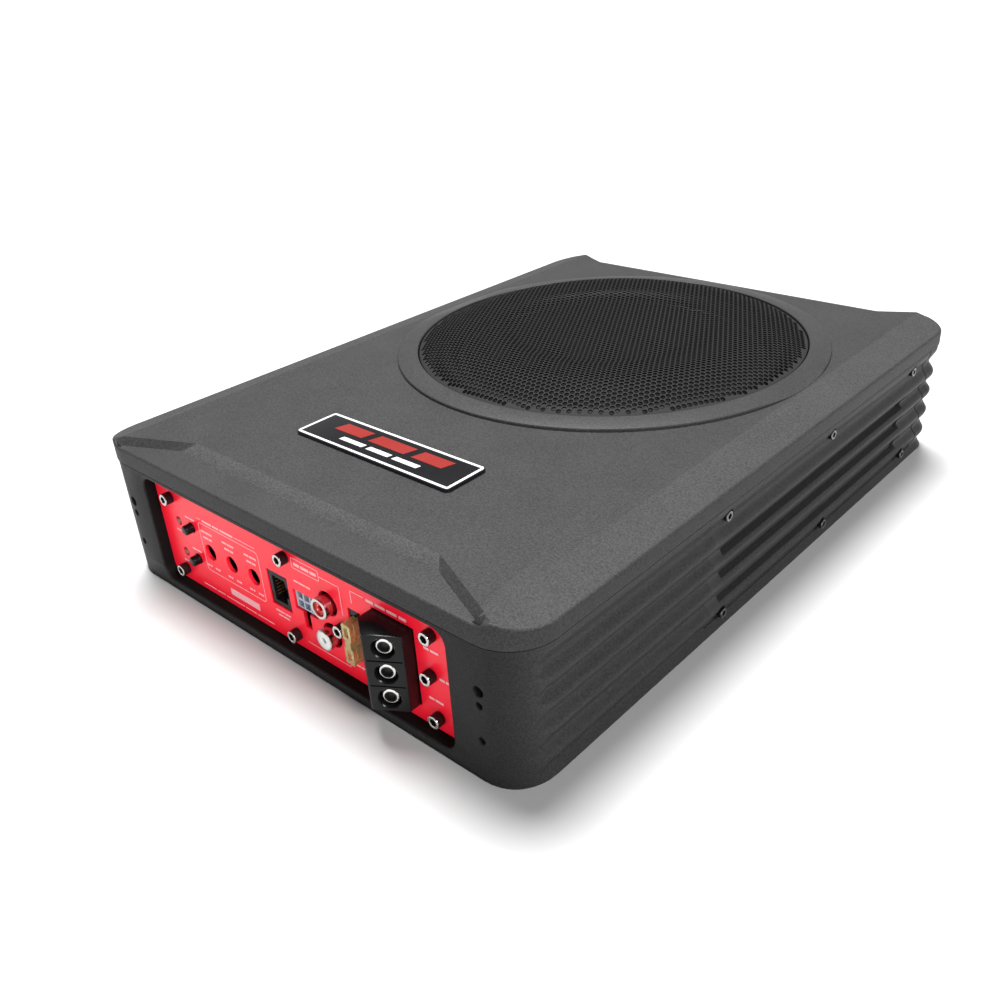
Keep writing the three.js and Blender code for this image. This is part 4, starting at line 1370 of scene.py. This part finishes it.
def build_motor():
    basket = [(29, 33.3), (55, 33.3), (60, 37.5), (87, 55), (90.5, 62.6), (98.7, 62.6),
              (98.7, 65), (88, 65), (84.6, 56.5), (57.5, 38.6), (50, 37.4), (50, 35.6),
              (29, 35.6)]
    pane = prism([(64, -13), (82, -15), (82, 15), (64, 13)], 34, 60)
    turns = [Matrix.Rotation((k + 0.5) * math.pi / 3, 4, "Z") for k in range(6)]
    show_turned("basket_pressing", basket, 96, ENAMEL, "basket", "woofer_basket",
                cutters=[Shape().add(pane, AT_DRIVER @ turn) for turn in turns])
    yoke = [(7, 5.3), (7.3, 5), (47.5, 5), (48, 5.5), (48, 10.5), (24.2, 10.5), (24.2, 32.6),
            (23.8, 33), (7, 33)]
    magnet = [(31, 10.8), (53.2, 10.8), (54, 11.6), (54, 26.2), (53.2, 27), (31, 27)]
    washer = [(27.2, 27.3), (49.6, 27.3), (50, 27.7), (50, 32.6), (49.6, 33), (27.2, 33)]
    show_turned("yoke_turned", yoke, 80, STEEL, "steel", "magnet_yoke")
    show_turned("magnet_ring", magnet, 80, FERRITE, "ferrite", "woofer_magnet")
    show_turned("washer_turned", washer, 80, STEEL, "steel", "magnet_top_washer")
    screws = Shape()
    for k in range(8):
        a = math.pi / 8 + k * math.pi / 4
        screws.add(DRIVER_SCREW, aim((*polar(94.8, a, DRIVER), 68.3), (0, 0, 1)))
    show("driver_screws", screws, [OXIDE_AND_SOCKET_SHADE, OXIDE_AND_SOCKET_SHADE], "nickel")


build_moving_cone()
build_suspension()
build_motor()

# ---- bottom plate, boards ----
BOTTOM_SCREWS = [(s * 111, y) for s in (-1, 1) for y in (-148, -74, 0, 79, 158)]
BOTTOM_SCREWS += [(0, -152), (0, 162)]
BOTTOM_THICK = 2
BOARD_FOOT = 7
BOARD_TOP = 8.7                  # what the board's parts stand on
BOARD_X, BOARD_Y = (-92, 92), (-142, -70)        # where they may stand
COIL = Vector((58, -106, 15))    # the transformer's middle
COIL_KEEP = 24                   # no other part's middle comes nearer than this and its size
CORE_R = 15                      # the ring core's middle line
WIRE_R = 6.2                     # the winding's outside
WIRE_DIP = 0.35                  # and how far it falls between turns
TURNS = 60


def build_bottom():
    outline = rounded(-117.2, 117.2, -157.7, 167.7, 3)
    holes = [(circle(2.9, 28, p), circle(1.6, 28, p)) for p in BOTTOM_SCREWS]
    plate = Shape()
    for z, k in ((0, 0), (BOTTOM_THICK, 1)):
        loops = [outline] + [hole[k] for hole in holes]
        plate.sheet(loops, lambda u, v: (u, v, z))
    plate.grid([at_z(outline, 0), at_z(outline, BOTTOM_THICK)], close=True)
    for wide, thin in holes:
        plate.grid([at_z(wide, 0), at_z(thin, 1.3), at_z(thin, BOTTOM_THICK)], close=True)
    for x in (-92, 92):
        for y in (-141, -71):
            plate.add(rod(3, BOTTOM_THICK, 6.9, 24, Matrix.Translation((x, y, 0))))
    show("bottom_sheet", plate, [STEEL], "steel", ["bottom_plate"])
    screws = Shape()
    head = lathe([(0, 0), (0.9, 0), (2.7, 0), (1.45, -1.3), (1.45, -7), (0, -7)], 28)
    for x, y in BOTTOM_SCREWS:
        screws.add(head, aim((x, y, 0.02), (0, 0, -1)))
    show("bottom_screws", screws, [OXIDE_AND_SOCKET_SHADE], "steel")


def build_board_parts():
    """Chips, capacitors and heat sink fins of the amplifier board, seeded so each run agrees."""
    dice = random.Random(7)
    chips, cans, sinks = Shape(), Shape(), Shape()
    taken = [(COIL.x, COIL.y, COIL_KEEP)]
    for kind, count in (("can", 9), ("chip", 14)):
        tries = 0
        while count and tries < 400:
            tries += 1
            x, y = dice.uniform(*BOARD_X), dice.uniform(*BOARD_Y)
            r = dice.uniform(4, 6.5) if kind == "can" else dice.uniform(4, 8)
            if any(math.hypot(x - a, y - b) < r + c + 1 for a, b, c in taken):
                continue
            taken.append((x, y, r))
            count -= 1
            if kind == "can":
                high = dice.uniform(14, 24)
                line = [(0, 0), (r, 0), (r, high - 2), (r - 0.4, high - 1.6), (r, high - 1.2),
                        (r - 0.6, high), (0, high)]
                cans.add(lathe(line, 28, Matrix.Translation((x, y, BOARD_TOP))))
            else:
                w, d = r * 0.8, r * 0.8 * 0.6
                chips.add(prism(rectangle(x - w, x + w, y - d, y + d), BOARD_TOP, 10.6))
    for k in range(9):
        x = -96 + 2.6 * k
        sinks.add(prism(rectangle(x, x + 1, -146, -128), BOARD_TOP, 26))
    show("board_capacitors", cans, [ENAMEL], "black_plastic")
    show("board_chips", chips, [GLOSS], "black_plastic")
    show("board_heat_sink", sinks, [STEEL], "steel")


def build_transformer():
    """The turns of wire round the transformer's ring core."""
    rows = []
    for i in range(2 * TURNS):
        a = math.pi * i / TURNS
        swell = WIRE_R - WIRE_DIP * (i % 2)
        ring = circle(swell, 16, (CORE_R, COIL.z))
        rows.append([(*polar(r, a, COIL), z) for r, z in [*ring, ring[0]]])
    show("transformer_winding", Shape().grid(rows + rows[:1]), [COPPER], "copper",
         ["power_transformer"])


def dress(node, material):
    """Gives a CAD node that stays its procedural finish."""
    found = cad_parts[node]
    found.data.materials.clear()
    found.data.materials.append(material)


build_bottom()
build_board_parts()
show("amplifier_sheet", prism(rounded(-100, 100, -148, -64, 1.5), BOARD_FOOT, 8.6), [BOARD],
     "board", ["amplifier_board"], bevel=0.1)
dress("control_board", BOARD)
build_transformer()

# ---- studio ----
FLOOR_REACH = 90.0               # metres, so the floor's edge lies at the horizon
HORIZON, OVERHEAD = (0.6, 0.6, 0.6, 1), (0.15, 0.15, 0.15, 1)
LIGHTS = (("key", (-0.3, 0.25, 1.0), 8.5, 28), ("side", (1.0, -0.2, 0.7), 2.5, 20),
          ("front", (0.4, -1.0, 0.25), 1.15, 60))      # name, where from, power, softness


def set_studio():
    mesh = bpy.data.meshes.new("floor")
    corners = rectangle(-FLOOR_REACH, FLOOR_REACH, -FLOOR_REACH, FLOOR_REACH)
    mesh.from_pydata(at_z(corners, 0), [], [(0, 1, 2, 3)])
    mesh.materials.append(finish("floor_paper", (0.42, 0.42, 0.42), 0.9,
                                 grain=(60, 0.02, 0.0001), vary=0.01))
    new_object("floor", mesh)
    world = bpy.data.worlds.new("studio")
    world.use_nodes = True
    sky = world.node_tree
    split = new_node(sky, "SeparateXYZ")
    ramp = new_ramp(sky, (0.06, 0.35), HORIZON, OVERHEAD)
    sky.links.new(new_node(sky, "TexCoord").outputs["Generated"], split.inputs[0])
    sky.links.new(split.outputs["Z"], ramp.inputs["Fac"])
    sky.links.new(ramp.outputs["Color"], sky.nodes["Background"].inputs["Color"])
    bpy.context.scene.world = world
    for name, way, power, soft in LIGHTS:
        data = bpy.data.lights.new(name, "SUN")
        data.energy = power
        data.angle = math.radians(soft)
        light = new_object(name, data)
        light.rotation_euler = Vector(way).to_track_quat("Z", "Y").to_euler()
    bpy.context.scene.view_settings.view_transform = "Standard"


set_studio()
